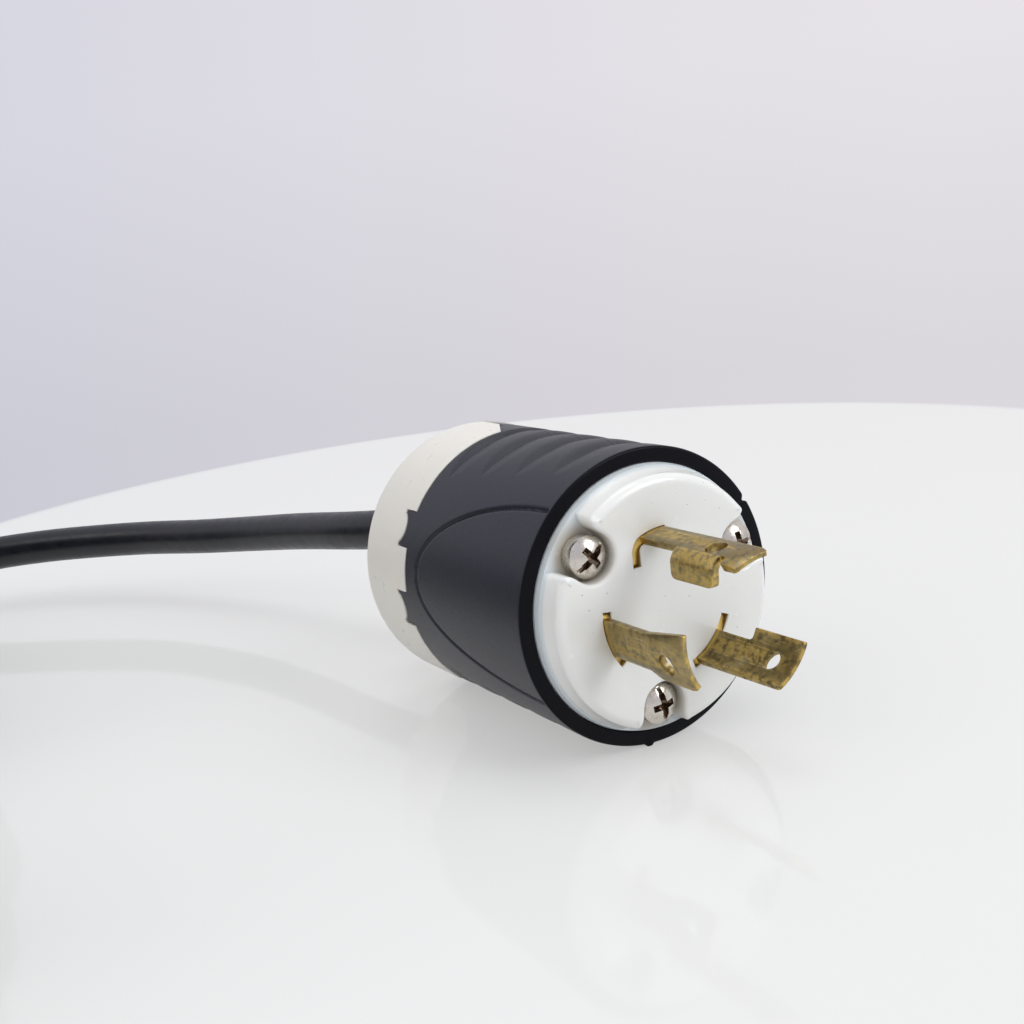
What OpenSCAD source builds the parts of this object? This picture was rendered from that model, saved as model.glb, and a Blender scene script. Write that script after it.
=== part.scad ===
// Shore power cord: a 30 A three-blade locking plug on a coiled cord with a matching connector.
// The plug lies on z = 0 with its blades towards -Y and its cord leaving towards +Y.
// Both ends are drawn in their own frame first: axis along Z, front face at z = 0, cord towards -Z.

/* [Body] */
// Outside diameter of the black shell
body_d = 57; // [55:0.5:60]
// Length of the plug's shell from its rim to the seam
shell_len = 45; // [44:0.5:50]
// Length of the connector's shell from its rim to the seam
conn_shell_len = 63; // [62:0.5:68]
// Radial width of the shell's front rim
rim_w = 2.95; // [2.6:0.05:3.2]
// Wall of the shell behind the rim
shell_wall = 4.1; // [3.8:0.1:4.4]
// Depth of the seat that holds the face
seat_depth = 6.2; // [5.8:0.1:7]
// Depth of the grip's wave valleys
grip_depth = 0.9; // [0.5:0.1:1.1]
// Distance from one wave valley to the next
grip_pitch = 10.8; // [10.2:0.1:11]
// Half width of the smooth side panel, in degrees
panel_arc = 37; // [33:1:40]
// Length of the smooth side panel
panel_len = 40.5; // [36:0.5:42]
// Depth of the line round the panel
panel_line = 0.6; // [0.4:0.1:0.8]

/* [Rear cap] */
// Length of the ivory rear cap, without its cord saddle
cap_len = 21; // [20:0.5:24]
// Step of the cap outside the shell
cap_proud = 0.2; // [0.1:0.05:0.3]
// Rounding of the cap's rear edge
cap_round = 4; // [3:0.5:5]
// Thickness of the cap's rear wall
cap_wall = 6; // [5:0.5:7]
// Length of the shell's seam lugs
lug_len = 4; // [3:0.5:5]

/* [Face] */
// Height of the white plateau over the rim
plateau_h = 5.8; // [5:0.1:6.4]
// How far the plateau's edge stands in from the seat
plateau_in = 1.55; // [1.4:0.05:2.6]
// Height of the screw pocket's floor over the rim
pocket_floor = 1; // [0.6:0.1:1.6]
// Radius of a screw pocket
pocket_r = 4.7; // [4.5:0.1:5]

/* [Blades] */
// Radius of the blades' middle surface round the axis
blade_r = 13.8; // [13.5:0.1:14.1]
// Thickness of a blade
blade_t = 1.6; // [1.4:0.1:1.7]
// Width of a line blade behind its head
neck_w = 7.2; // [6.8:0.1:7.4]
// Reach of a line blade's head past its middle, on its notched side
head_reach = 6; // [5.6:0.1:6.2]
// Reach of the two line blades beyond the plateau
line_reach = 22; // [20:0.5:23]
// Reach of the ground blade beyond the plateau
ground_reach = 27.5; // [26:0.5:28]
// Height of the locking notch over the rim
notch_z = 15.5; // [14:0.5:17]
// Radius of the hole near a blade's tip
blade_hole_r = 1.9; // [1.6:0.1:2.1]

/* [Screws] */
// Distance of the assembly screws from the seat's edge
screw_inset = 6.15; // [6:0.05:6.3]
// Radius of a screw's shank
screw_r = 2; // [1.8:0.05:2.1]
// Radius of a screw's head
head_r = 3.9; // [3.7:0.1:4]
// Height of a screw's head
head_h = 2.9; // [2.4:0.1:3]

/* [Cord clamp] */
// Diameter of the cord
cord_d = 10; // [9:0.5:10.5]
// Length of the clamp along the cord
clamp_len = 18; // [16:0.5:20]
// Gap between the clamp's halves on the cord
jaw_gap = 1.6; // [1:0.1:2]
// How far the upper jaw opens
jaw_travel = 4; // [3:0.5:5]
// Distance of each clamp screw from the cord's middle
clamp_x = 10.5; // [10.25:0.25:11]

/* [Coil] */
// Radius of the outermost turn's ends
coil_r = 66; // [64:0.5:66]
// Straight part between the ends of a turn
coil_side = 34; // [30:1:34]
// Distance between neighbouring turns
coil_pitch = 10.6; // [10.5:0.1:10.7]

/* [Hidden] */
$fn = 96;

fit = 0.15;              // gap between fixed pieces that seat in each other
gap = 0.3;               // gap between pieces that move apart
run = 0.05;              // running clearance of a thread in its hole
eps = 0.5;               // overshoot of a cut beyond a face

body_r = body_d / 2;
seat_r = body_r - rim_w;             // inside of the rim, where the face sits
bore_r = body_r - shell_wall;        // inside of the shell behind the seat
cap_r = body_r + cap_proud;
screw_circle = seat_r - screw_inset;
plateau_r = seat_r - plateau_in;
axis_h = cap_r;                      // height of the plug's axis over the table
cord_r = cord_d / 2;
blade_in = blade_r - blade_t / 2;
blade_out = blade_r + blade_t / 2;

// angles round the axis, seen from the front, counterclockwise from the right
side_a = 171.5;                      // middle of the left side panel
grip_a = side_a - 90;                // middle of the upper grip
screw_a = [142, 22, 262];            // assembly screws
ground_a = 103;                      // middle of the ground blade's hole
line_a = 309;                        // middle of the line blade's neck
neutral_a = 193;                     // middle of the neutral blade's neck
lug_in = 9.5;                        // a lug's edges, in degrees from the panel's middle
lug_out = 24.5;

block_len = 11;                      // terminal block behind the face
tail_end = 30;                       // depth of the blade tails behind the rim
terminal_z = 24;                     // depth of the terminal screws behind the rim
spigot_len = 4.5;                    // cap's spigot inside the shell
screw_bite = 8;                      // how far an assembly screw runs into the cap
conn_shift = conn_shell_len - shell_len;
conn_block_len = block_len + conn_shift;

plug_len = shell_len + cap_len + clamp_len;
plug_y = (ground_reach + plateau_h - plug_len) / 2;    // the plug is centred on y = 0
exit_y = plug_y + plug_len;

// ---------- shared shapes ----------

module ring(r_out, r_in, z0, z1) {
    translate([0, 0, z0]) difference() {
        cylinder(r = r_out, h = z1 - z0);
        translate([0, 0, -eps]) cylinder(r = r_in, h = z1 - z0 + 2 * eps);
    }
}

module sector(r_out, r_in, z0, z1, a0, a1) {
    rotate(a0) rotate_extrude(angle = a1 - a0)
        translate([r_in, z0]) square([r_out - r_in, z1 - z0]);
}

// a flat outline in the plane across the radius at angle a, pushed outwards from the axis
module radial(a, r0, r1) {
    rotate(a) rotate([90, 0, 90]) translate([0, 0, r0]) linear_extrude(r1 - r0) children();
}

module at_screws(r = screw_circle) {
    for (a = screw_a) rotate(a) translate([r, 0, 0]) children();
}

// domed head with a combination recess, underside at z = 0
module screw_head(r, h) {
    dome = (r * r + h * h) / (2 * h) * 1.35;
    difference() {
        intersection() {
            cylinder(r = r, h = h, $fn = 48);
            translate([0, 0, h - dome]) sphere(r = dome, $fn = 64);
        }
        translate([-r * 0.62, -r * 0.14, h * 0.42]) cube([r * 1.24, r * 0.28, h]);
        translate([-r * 0.14, -r * 0.62, h * 0.42]) cube([r * 0.28, r * 1.24, h]);
        translate([0, 0, h * 0.3]) cylinder(r = r * 0.26, h = h, $fn = 24);
    }
}

module screw(r, length, head = head_r, h = head_h) {
    screw_head(head, h);
    translate([0, 0, -length]) cylinder(r = r, h = length + h * 0.25, $fn = 48);
}

// ---------- swept tubes ----------

function unit(v) = v / norm(v);
function tangent(p, i) = unit(p[min(i + 1, len(p) - 1)] - p[max(i - 1, 0)]);

module tube(p, r, sides, ref = [0, 0, 1]) {
    n = len(p);
    pts = [
        for (i = [0 : n - 1])
            let (t = tangent(p, i), s = unit(cross(t, ref)), u = cross(s, t))
            for (k = [0 : sides - 1])
                let (a = (k + 0.5) * 360 / sides) p[i] + r * (cos(a) * s + sin(a) * u)
    ];
    walls = [
        for (i = [0 : n - 2]) for (k = [0 : sides - 1])
            let (a = i * sides + k, b = i * sides + (k + 1) % sides)
            each [[a, b, b + sides], [a, b + sides, a + sides]]
    ];
    first = [for (k = [1 : sides - 2]) [0, k + 1, k]];
    last = [for (k = [1 : sides - 2]) [0, k, k + 1] + (n - 1) * sides * [1, 1, 1]];
    polyhedron(pts, concat(walls, first, last));
}

// ---------- moulded shell ----------

// the body's outside with one grip's waves: a wavy solid that stands off the axis, away from
// the grip, so that its valleys fade out round the sides
module waved(len, side) {
    span = 52;                                   // half the grip's arc that the valleys reach
    cut_r = 7;
    shift = grip_depth / (1 - cos(span));
    valley_at = body_r - grip_depth + shift + cut_r;
    valleys = floor((len - 2) / grip_pitch);
    rotate(grip_a + side) translate([-shift, 0, 0]) rotate_extrude() difference() {
        translate([0, -len - 2 * lug_len]) square([body_r + shift + 3, len + 3 * lug_len]);
        for (k = [1 : valleys]) translate([valley_at, 1.2 - k * grip_pitch])
            circle(r = cut_r, $fn = 64);
    }
}

// half an oval, open at the rim: its straight side lies on the rim plane
function oval(w, l) = concat([[w, eps]], [for (t = [0 : 10 : 180]) [w * cos(t), -l * sin(t)]], [[-w, eps]]);

module panel_lines() {
    half = body_r * sin(panel_arc);
    for (s = [0, 180]) difference() {
        radial(side_a + s, body_r * 0.5, body_r + 2) difference() {
            polygon(oval(half, panel_len));
            polygon(oval(half - 1.1, panel_len - 1.1));
        }
        translate([0, 0, -panel_len - 2]) cylinder(r = body_r - panel_line, h = panel_len + 4);
    }
}

// the seam's lugs stand in pairs at the side panels, with hollow ends
lug_mid = [for (s = [0, 180], m = [-1, 1]) side_a + s + m * (lug_in + lug_out) / 2];
lug_half = (lug_out - lug_in) / 2;
lug_floor = bore_r + 1.2;            // a lug's inner face

module lug_hollows(len, grow = 0) {
    hollow_r = 3.5;
    for (a = lug_mid) radial(a, bore_r, body_r + 2)
        translate([0, -len - 0.55 * lug_len - hollow_r - grow]) circle(r = hollow_r, $fn = 48);
}

// room for the lugs in the cap
module lug_recesses(len) {
    half = lug_half + fit / body_r * 57.3;
    difference() {
        for (a = lug_mid)
            sector(body_r + 1, lug_floor - fit, -len - lug_len - fit, -len + 2, a - half, a + half);
        lug_hollows(len, fit);
    }
}

// what is cut from the shell's rear edge to leave its lugs
module seam_gaps(len) {
    for (s = [side_a, side_a + 180]) {
        for (arc = [[s - lug_in, s + lug_in], [s + lug_out, s + 180 - lug_out]])
            sector(body_r + 1, lug_floor - 1, -len - lug_len - 1, -len, arc[0], arc[1]);
    }
    lug_hollows(len);
}

module moulded_shell(len) {
    edge = 0.5;
    difference() {
        intersection() {
            rotate_extrude() polygon([
                [bore_r, -len], [lug_floor, -len], [lug_floor, -len - lug_len],
                [body_r, -len - lug_len], [body_r, -edge], [body_r - edge, 0],
                [seat_r, 0], [seat_r, -seat_depth], [bore_r, -seat_depth]
            ]);
            waved(len, 0);
            waved(len, 180);
        }
        seam_gaps(len);
        panel_lines();
    }
}

// ---------- rear cap with its cord saddle ----------

module clamp_half(bottom, top) {
    // section across the cord, cut by the cord's groove and the two screw holes
    half_w = clamp_x + head_r + 1.2;
    round_r = 3;
    difference() {
        intersection() {
            translate([-half_w, bottom]) square([2 * half_w, top - bottom]);
            union() {
                for (x = [-1, 1], y = [-1, 1])
                    translate([x * (half_w - round_r), y * (clamp_top() - round_r)])
                        circle(r = round_r, $fn = 48);
                square([2 * (half_w - round_r), 2 * clamp_top()], center = true);
                square([2 * half_w, 2 * (clamp_top() - round_r)], center = true);
            }
        }
        circle(r = cord_r + gap);
    }
}

function clamp_top() = cord_r + 5.5;

module clamp_holes(r) {
    for (x = [-1, 1])
        translate([x * clamp_x, 0, -clamp_len / 2]) rotate([90, 0, 0])
            cylinder(r = r, h = 4 * clamp_top(), center = true, $fn = 48);
}

module end_cap(len) {
    back = -len - cap_len;
    seam = -len - fit;
    spigot_r = bore_r - fit;
    inside = spigot_r - 1.8;
    boss_r = 4.4;
    seal_r = cord_r + 4;
    difference() {
        union() {
            difference() {
                rotate_extrude() union() {
                    translate([seal_r + fit, back]) square([cap_r - cap_round - seal_r - fit, cap_wall]);
                    translate([inside, back + cap_round])
                        square([cap_r - inside, seam - back - cap_round]);
                    translate([inside, back]) square([cap_r - cap_round - inside, cap_round + 1]);
                    translate([cap_r - cap_round, back + cap_round]) circle(r = cap_round);
                    translate([inside, seam - 1]) square([spigot_r - inside, spigot_len + 1]);
                }
                lug_recesses(len);
            }
            intersection() {
                at_screws() translate([0, 0, back + 1])
                    cylinder(r = boss_r, h = cap_len - 1 + spigot_len);
                translate([0, 0, back]) cylinder(r = spigot_r, h = cap_len + spigot_len - fit);
            }
            translate([0, 0, back - clamp_len]) linear_extrude(clamp_len + 1)
                difference() {
                    clamp_half(-clamp_top(), -jaw_gap / 2);
                    circle(r = cord_r + gap);
                }
        }
        at_screws() translate([0, 0, back + 3]) cylinder(r = screw_r + run, h = len, $fn = 48);
        translate([0, 0, back - eps]) cylinder(r = cord_r + gap, h = cap_wall);
        translate([0, 0, back + 2]) cylinder(r = seal_r + fit, h = cap_wall);
        translate([0, 0, back]) clamp_holes(screw_r + run);
    }
}

module jaw(len) {
    back = -len - cap_len;
    difference() {
        translate([0, 0, back - clamp_len]) linear_extrude(clamp_len - gap)
            clamp_half(jaw_gap / 2, clamp_top());
        translate([0, 0, back]) clamp_holes(screw_r + gap);
        for (x = [-1, 1]) translate([x * clamp_x, clamp_top() - 1, back - clamp_len / 2])
            rotate([-90, 0, 0]) cylinder(r = head_r + gap, h = 4, $fn = 48);
    }
}

module clamp_screw(len, side) {
    hold = 4.5;                                  // thread left in the saddle when the jaw is open
    translate([side * clamp_x, clamp_top() - 1 + gap, -len - cap_len - clamp_len / 2])
        rotate([-90, 0, 0]) screw(screw_r, clamp_top() + jaw_travel + hold);
}

module seal(len) {
    back = -len - cap_len;
    color("dimgray") ring(cord_r + 4, cord_r + 0.02, back + 2, back + cap_wall);
}

// ---------- face ----------

module pocket_outline() {
    circle(r = pocket_r);
    translate([0, -pocket_r]) square([body_r, 2 * pocket_r]);
    translate([plateau_r - screw_circle - 2.6, 0]) polygon([
        [0, -pocket_r], [0.9, -pocket_r - 0.25], [2.6, -pocket_r - 1.8], [6, -pocket_r - 5],
        [6, pocket_r + 5], [2.6, pocket_r + 1.8], [0.9, pocket_r + 0.25], [0, pocket_r]
    ]);
}

module face_disc(front) {
    // drum that fills the seat, with a rounded plateau in front of the rim
    side_r = seat_r - fit - 0.3;
    top_r = plateau_r;
    round_r = 1.6;
    rotate_extrude() polygon(concat(
        [[0, -seat_depth + 0.1], [seat_r - fit, -seat_depth + 0.1], [seat_r - fit, 0]],
        front < 2 ? [[side_r, front]] : concat(
            [[side_r, 0.3]],
            [for (t = [0 : 15 : 90]) [top_r - round_r + round_r * cos(t) + 0.25 * cos(t),
                                      front - round_r + round_r * sin(t)]]),
        [[0, front]]
    ));
}

// ---------- blades ----------

// flat outline of each line blade: across the blade, and along it from the rim
tip_line = plateau_h + line_reach;
tip_ground = plateau_h + ground_reach;
foot_top = plateau_h - 1;

shoulder = -seat_depth - 2;          // the feet's rear end
line_foot = [4.5, 6.6];              // how far each foot reaches to either side of its blade's middle
neutral_foot = [4.6, 5.9];
neck = neck_w / 2;

function line_outline() = [
    [-neck, -tail_end], [neck, -tail_end], [neck, shoulder], [line_foot[1], shoulder],
    [line_foot[1], foot_top], [neck, foot_top + 0.8], [neck, notch_z - 0.5],
    [neck + 0.3, notch_z], [head_reach, notch_z], [head_reach, tip_line],
    [-neck + 0.2, tip_line], [-neck, foot_top + 0.8], [-line_foot[0], foot_top],
    [-line_foot[0], shoulder], [-neck, shoulder]
];

function neutral_outline() = let (right = head_reach - 0.9, left = head_reach - 0.8) [
    [-neck, -tail_end], [neck, -tail_end], [neck, shoulder], [neutral_foot[1], shoulder],
    [neutral_foot[1], foot_top], [neck, foot_top + 0.8], [neck, notch_z + 1.1],
    [neck + 0.4, notch_z + 1.5], [right - 0.4, notch_z + 2.4], [right, notch_z + 3],
    [right, tip_line], [-left, tip_line], [-neck, notch_z + 1.8], [-neck, foot_top + 0.8],
    [-neutral_foot[0], foot_top], [-neutral_foot[0], shoulder], [-neck, shoulder]
];

module blade_ring(tip, grow = 0) {
    bevel = 1.1;
    rotate_extrude() polygon(grow > 0
        ? [[blade_in - grow, -tail_end - 1], [blade_out + grow, -tail_end - 1],
           [blade_out + grow, tip], [blade_in - grow, tip]]
        : [[blade_in, -tail_end], [blade_out, -tail_end], [blade_out, tip - bevel],
           [blade_out - blade_t * 0.3, tip], [blade_in + blade_t * 0.3, tip], [blade_in, tip - bevel]]);
}

module plain_blade(a, points, tip) {
    hole_z = tip - 5.4;
    difference() {
        intersection() {
            blade_ring(tip);
            radial(a, blade_in - 6, blade_out + 3) polygon(points);
        }
        radial(a, 0, 20) translate([1, hole_z]) circle(r = blade_hole_r, $fn = 48);
        terminal_hole(a);
    }
}

module terminal_hole(a) {
    radial(a, 0, 20) translate([0, -terminal_z]) circle(r = screw_r + 0.2, $fn = 48);
}

// section of the ground blade: an arc plate whose left end turns down towards the axis
bend_r = 3;
bend_a = 110;
arc_right = 88;
arc_left = 117;                      // the tip's left edge, which isn't bent
leg_len = 2.6;
leg_front = tip_ground - 4.4;        // the leg's front end
relief = 0.2;                        // slit between the leg and the tip
bend_step = 0.02;                    // the bend stands this far inside its neighbours' faces

module ground_section(grow = 0, hook = true) {
    grow_a = grow / blade_r * 57.3;
    difference() {
        circle(r = blade_out + grow);
        circle(r = blade_in - grow);
        wedge_out(arc_right - grow_a, bend_a);
    }
    if (hook) hook_section(grow);
}

// the bend and the straight leg after it
module hook_section(grow = 0) {
    bend_at = (blade_out - bend_r) * [cos(bend_a), sin(bend_a)];
    translate(bend_at) difference() {
        circle(r = bend_r + grow - bend_step, $fn = 48);
        circle(r = bend_r - blade_t - grow + bend_step, $fn = 48);
        wedge_out(bend_a - 2, 182);
    }
    translate(bend_at - [bend_r + grow, leg_len + grow])
        square([blade_t + 2 * grow, leg_len + grow]);
}

// everything outside the angles a0 to a1
module wedge_out(a0, a1) {
    far = 60;
    rotate(a0) translate([-far, -2 * far]) square([2 * far, 2 * far]);
    rotate(a1) translate([-far, 0]) square([2 * far, 2 * far]);
}

module ground_plate(tip) {
    difference() {
        union() {
            difference() {
                intersection() {
                    blade_ring(tip);
                    sector(blade_out + 1, blade_in - 1, -tail_end - 1, tip + 1, arc_right, arc_left);
                }
                sector(blade_out + 2, blade_in - 2, -tail_end - 2, leg_front + relief, bend_a, arc_left + 1);
            }
            // the hook's foot in the face, and its leg beyond the notch
            translate([0, 0, shoulder]) linear_extrude(foot_top - shoulder) hook_section();
            translate([0, 0, notch_z + 1]) linear_extrude(leg_front - notch_z - 1) hook_section();
        }
        radial(ground_a - 1, 0, 20) translate([0, tip - 8.8]) circle(r = blade_hole_r, $fn = 48);
        terminal_hole(ground_tail_a());
    }
}

function ground_tail_a() = (arc_right + bend_a) / 2;
function terminal_a(i) = [ground_tail_a(), line_a, neutral_a][i];

// ---------- terminals and wires ----------

plate_r0 = 8;                        // a clamp plate's inner face
plate_t = 1.8;
plate_w = 8.4;
plate_len = 9;

module terminal_screw(a) {
    rotate(a) translate([blade_out + 0.1, 0, -terminal_z]) rotate([0, 90, 0])
        screw(screw_r, blade_out - plate_r0, 3.4, 2.4);
}

module clamp_plate(a) {
    difference() {
        radial(a, plate_r0, plate_r0 + plate_t)
            translate([-plate_w / 2, -terminal_z - plate_len / 2]) square([plate_w, plate_len]);
        radial(a, 0, 20) translate([0, -terminal_z]) circle(r = screw_r + run, $fn = 48);
    }
}

wire_r = 1.75;
strand_r = 1.1;
strand_off = 3.3;                    // strands lie beside the screw
strand_at = 11.2;                    // and this far from the axis
wire_start = 31;                     // where the insulation starts behind the rim
jacket_start = 52;                   // where the jacket starts behind the rim
bundle_r = 2.35;                     // the wires' places in the jacket

module strand(a) {
    rotate(a) translate([strand_at, strand_off, -wire_start]) cylinder(r = strand_r, h = 12, $fn = 24);
}

module wire(a) {
    from = [strand_at * cos(a) - strand_off * sin(a), strand_at * sin(a) + strand_off * cos(a)];
    to = bundle_r * [cos(a), sin(a)];
    span = jacket_start - wire_start;
    depths = [for (t = [0, 0.1, 0.35, 0.62, 0.9, 1]) wire_start + t * span];
    shares = [0, 0, 0.25, 0.75, 1, 1];
    tube([for (i = [0 : 5]) [each (from + (to - from) * shares[i]), -depths[i]]], wire_r, 12, [0, 1, 0]);
}

module jacket_end(len) {
    stop = len + cap_len + clamp_len;
    start = jacket_start + len - shell_len;
    color("#17181b") translate([0, 0, -stop]) cylinder(r = cord_r, h = stop - start);
}

// ---------- plug ----------

module in_plug() {
    translate([0, plug_y, axis_h]) rotate([90, 0, 0]) children();
}

module body_shell() { color("#2b2e38") in_plug() moulded_shell(shell_len); }

module face_carrier() {
    color("#f3f3ee") in_plug() difference() {
        face_disc(plateau_h);
        at_screws() translate([0, 0, pocket_floor]) linear_extrude(plateau_h + 2) pocket_outline();
        at_screws() translate([0, 0, -seat_depth - 1])
            cylinder(r = screw_r + gap, h = seat_depth + 4, $fn = 48);
        blade_slots();
    }
}

module slot_outline(foot) {
    translate([-foot[0] - fit, -seat_depth - 3])
        square([foot[0] + foot[1] + 2 * fit, plateau_h + seat_depth + 6]);
}

module blade_slots() {
    intersection() {
        blade_ring(plateau_h + 3, fit);
        union() {
            radial(line_a, blade_in - 6, blade_out + 3) slot_outline(line_foot);
            radial(neutral_a, blade_in - 6, blade_out + 3) slot_outline(neutral_foot);
        }
    }
    translate([0, 0, -seat_depth - 1]) linear_extrude(plateau_h + seat_depth + 4)
        ground_section(fit);
}

module terminal_block() {
    top = -seat_depth - 0.1;
    tube_r = 4;
    fin_t = 1.8;
    fin_len = 14;
    fin_in = 9;                                  // the fins' distance from the axis
    color("#e6e4da") in_plug() difference() {
        union() {
            translate([0, 0, top - block_len]) cylinder(r = bore_r - fit, h = block_len);
            // a tube round each assembly screw, on a fin that keeps the wires apart
            at_screws() translate([0, 0, -shell_len + spigot_len])
                cylinder(r = tube_r, h = shell_len - spigot_len + top, $fn = 48);
            for (a = screw_a) rotate(a) translate([fin_in, -fin_t / 2, top - block_len - fin_len])
                cube([screw_circle - screw_r - fin_in, fin_t, fin_len + 1]);
        }
        at_screws() translate([0, 0, -shell_len]) cylinder(r = screw_r + gap, h = shell_len, $fn = 48);
        blade_pockets(top);
    }
}

module blade_pockets(top) {
    // the tails run through the block, and each blade's shoulders sink into its front
    intersection() {
        blade_ring(plateau_h, fit);
        union() {
            for (a = [line_a, neutral_a]) radial(a, blade_in - 6, blade_out + 3) {
                translate([-neck - fit, -tail_end - 2]) square([neck_w + 2 * fit, tail_end]);
                translate([-7, shoulder - fit]) square([14, 4]);
            }
        }
    }
    translate([0, 0, shoulder - fit]) linear_extrude(4) ground_section(fit);
    translate([0, 0, top - block_len - 1]) linear_extrude(block_len + 3) ground_section(fit, false);
}

module rear_cap() { color("#ece5d2") in_plug() end_cap(shell_len); }

module ground_blade() { color("#a08a4c") in_plug() ground_plate(tip_ground); }
module line_blade() { color("#a08a4c") in_plug() plain_blade(line_a, line_outline(), tip_line); }
module neutral_blade() {
    color("#a08a4c") in_plug() plain_blade(neutral_a, neutral_outline(), tip_line);
}

module assembly_screws() {
    color("#cfc9bd") in_plug() at_screws() translate([0, 0, pocket_floor + 0.02])
        rotate(20) screw(screw_r, pocket_floor + shell_len + screw_bite);
}

module ground_terminal_screw() { color("seagreen") in_plug() terminal_screw(terminal_a(0)); }
module line_terminal_screw() { color("#b08d4a") in_plug() terminal_screw(terminal_a(1)); }
module neutral_terminal_screw() { color("silver") in_plug() terminal_screw(terminal_a(2)); }
module ground_clamp_plate() { color("#b08d4a") in_plug() clamp_plate(terminal_a(0)); }
module line_clamp_plate() { color("#b08d4a") in_plug() clamp_plate(terminal_a(1)); }
module neutral_clamp_plate() { color("#b08d4a") in_plug() clamp_plate(terminal_a(2)); }
module ground_wire() { color("green") in_plug() wire(terminal_a(0)); }
module line_wire() { color("black") in_plug() wire(terminal_a(1)); }
module neutral_wire() { color("white") in_plug() wire(terminal_a(2)); }
module wire_strands() { color("#b8703c") in_plug() for (i = [0 : 2]) strand(terminal_a(i)); }
module cord_seal() { in_plug() seal(shell_len); }
module cord_end() { in_plug() jacket_end(shell_len); }
module clamp_jaw() { color("#ece5d2") in_plug() jaw(shell_len); }
module clamp_screw_left() { color("#cfc9bd") in_plug() clamp_screw(shell_len, -1); }
module clamp_screw_right() { color("#cfc9bd") in_plug() clamp_screw(shell_len, 1); }

// ---------- connector ----------

conn_turn = 45;                      // it faces away from the coil
conn_dir = [sin(conn_turn), -cos(conn_turn)];
conn_len = conn_shell_len + cap_len + clamp_len;

module in_conn() {
    translate([each (conn_at + conn_len * conn_dir), axis_h]) rotate([90, 0, conn_turn])
        children();
}

// the connector's pattern is the plug's, seen in a mirror
function conn_a(i) = 180 - terminal_a(i);

module conn_shell() { color("#2b2e38") in_conn() moulded_shell(conn_shell_len); }
module conn_rear_cap() { color("#ece5d2") in_conn() end_cap(conn_shell_len); }

module conn_slots(grow) {
    intersection() {
        ring(blade_out + grow, blade_in - grow, -seat_depth - 3, 6);
        for (i = [1, 2]) radial(conn_a(i), blade_in - 6, blade_out + 3)
            translate([-head_reach - grow, -seat_depth - 3]) square([2 * (head_reach + grow), 20]);
    }
    translate([0, 0, -seat_depth - 3]) linear_extrude(20) mirror([1, 0]) ground_section(grow);
}

module conn_face() {
    color("#f3f3ee") in_conn() difference() {
        face_disc(1.2);
        conn_slots(0.5);
        at_screws() translate([0, 0, -2.4]) cylinder(r = head_r + 0.4, h = 6, $fn = 48);
        at_screws() translate([0, 0, -seat_depth - 1]) cylinder(r = screw_r + gap, h = 10, $fn = 48);
    }
}

contact_t = 1;
contact_gap = 0.5;                   // room for a blade between the leaves

module conn_block() {
    top = -seat_depth - 0.1;
    color("#e6e4da") in_conn() difference() {
        union() {
            translate([0, 0, top - conn_block_len]) cylinder(r = bore_r - fit, h = conn_block_len);
            at_screws() translate([0, 0, -conn_shell_len + spigot_len])
                cylinder(r = 4, h = conn_shell_len - spigot_len + top, $fn = 48);
        }
        at_screws() translate([0, 0, -conn_shell_len])
            cylinder(r = screw_r + gap, h = conn_shell_len, $fn = 48);
        for (i = [0 : 2]) rotate(conn_a(i))
            sector(blade_out + contact_t + contact_gap + gap, blade_in - contact_t - contact_gap - gap,
                -seat_depth - conn_block_len - 2, 0, -27, 27);
    }
}

// two leaves with a web behind them, and a tail to the terminal
module contact(a) {
    front = -seat_depth - 0.5;
    web = -seat_depth - conn_block_len + 2;
    half = 24;
    rotate(a) difference() {
        union() {
            sector(blade_out + contact_gap + contact_t, blade_out + contact_gap, web, front, -half, half);
            sector(blade_in - contact_gap, blade_in - contact_gap - contact_t, web, front, -half, half);
            sector(blade_out + contact_gap + contact_t, blade_in - contact_gap - contact_t,
                web - contact_t, web + 0.2, -half, half);
            sector(blade_out, blade_in, -tail_end - conn_shift, web, -14, 14);
        }
        translate([0, 0, -conn_shift]) rotate(-a) terminal_hole(a);
    }
}

module conn_ground_contact() { color("#b08d4a") in_conn() contact(conn_a(0)); }
module conn_line_contact() { color("#b08d4a") in_conn() contact(conn_a(1)); }
module conn_neutral_contact() { color("#b08d4a") in_conn() contact(conn_a(2)); }

module at_back() { translate([0, 0, -conn_shift]) children(); }

module conn_assembly_screws() {
    color("#cfc9bd") in_conn() at_screws() translate([0, 0, -2.38])
        rotate(20) screw(screw_r, conn_shell_len - 2.4 + screw_bite);
}
module conn_terminal_screws() {
    color("silver") in_conn() at_back() for (i = [0 : 2]) terminal_screw(conn_a(i));
}
module conn_clamp_plates() {
    color("#b08d4a") in_conn() at_back() for (i = [0 : 2]) clamp_plate(conn_a(i));
}
module conn_wires() { color("gray") in_conn() at_back() for (i = [0 : 2]) wire(conn_a(i)); }
module conn_wire_strands() {
    color("#b8703c") in_conn() at_back() for (i = [0 : 2]) strand(conn_a(i));
}
module conn_cord_seal() { in_conn() seal(conn_shell_len); }
module conn_cord_end() { in_conn() jacket_end(conn_shell_len); }
module conn_clamp_jaw() { color("#ece5d2") in_conn() jaw(conn_shell_len); }
module conn_clamp_screw_left() { color("#cfc9bd") in_conn() clamp_screw(conn_shell_len, -1); }
module conn_clamp_screw_right() { color("#cfc9bd") in_conn() clamp_screw(conn_shell_len, 1); }

// ---------- cord ----------

// the coil winds counterclockwise from its lowest, outermost turn, in six oval layers
coil_at = [-169, 136.5];
coil_steps = 24;
coil_turns = 19 + 5 / coil_steps;    // the last one ends where its left side begins
coil_layers = 6;
coil_base = cord_r + 1.6;
layer_turns = coil_turns / coil_layers;

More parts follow.
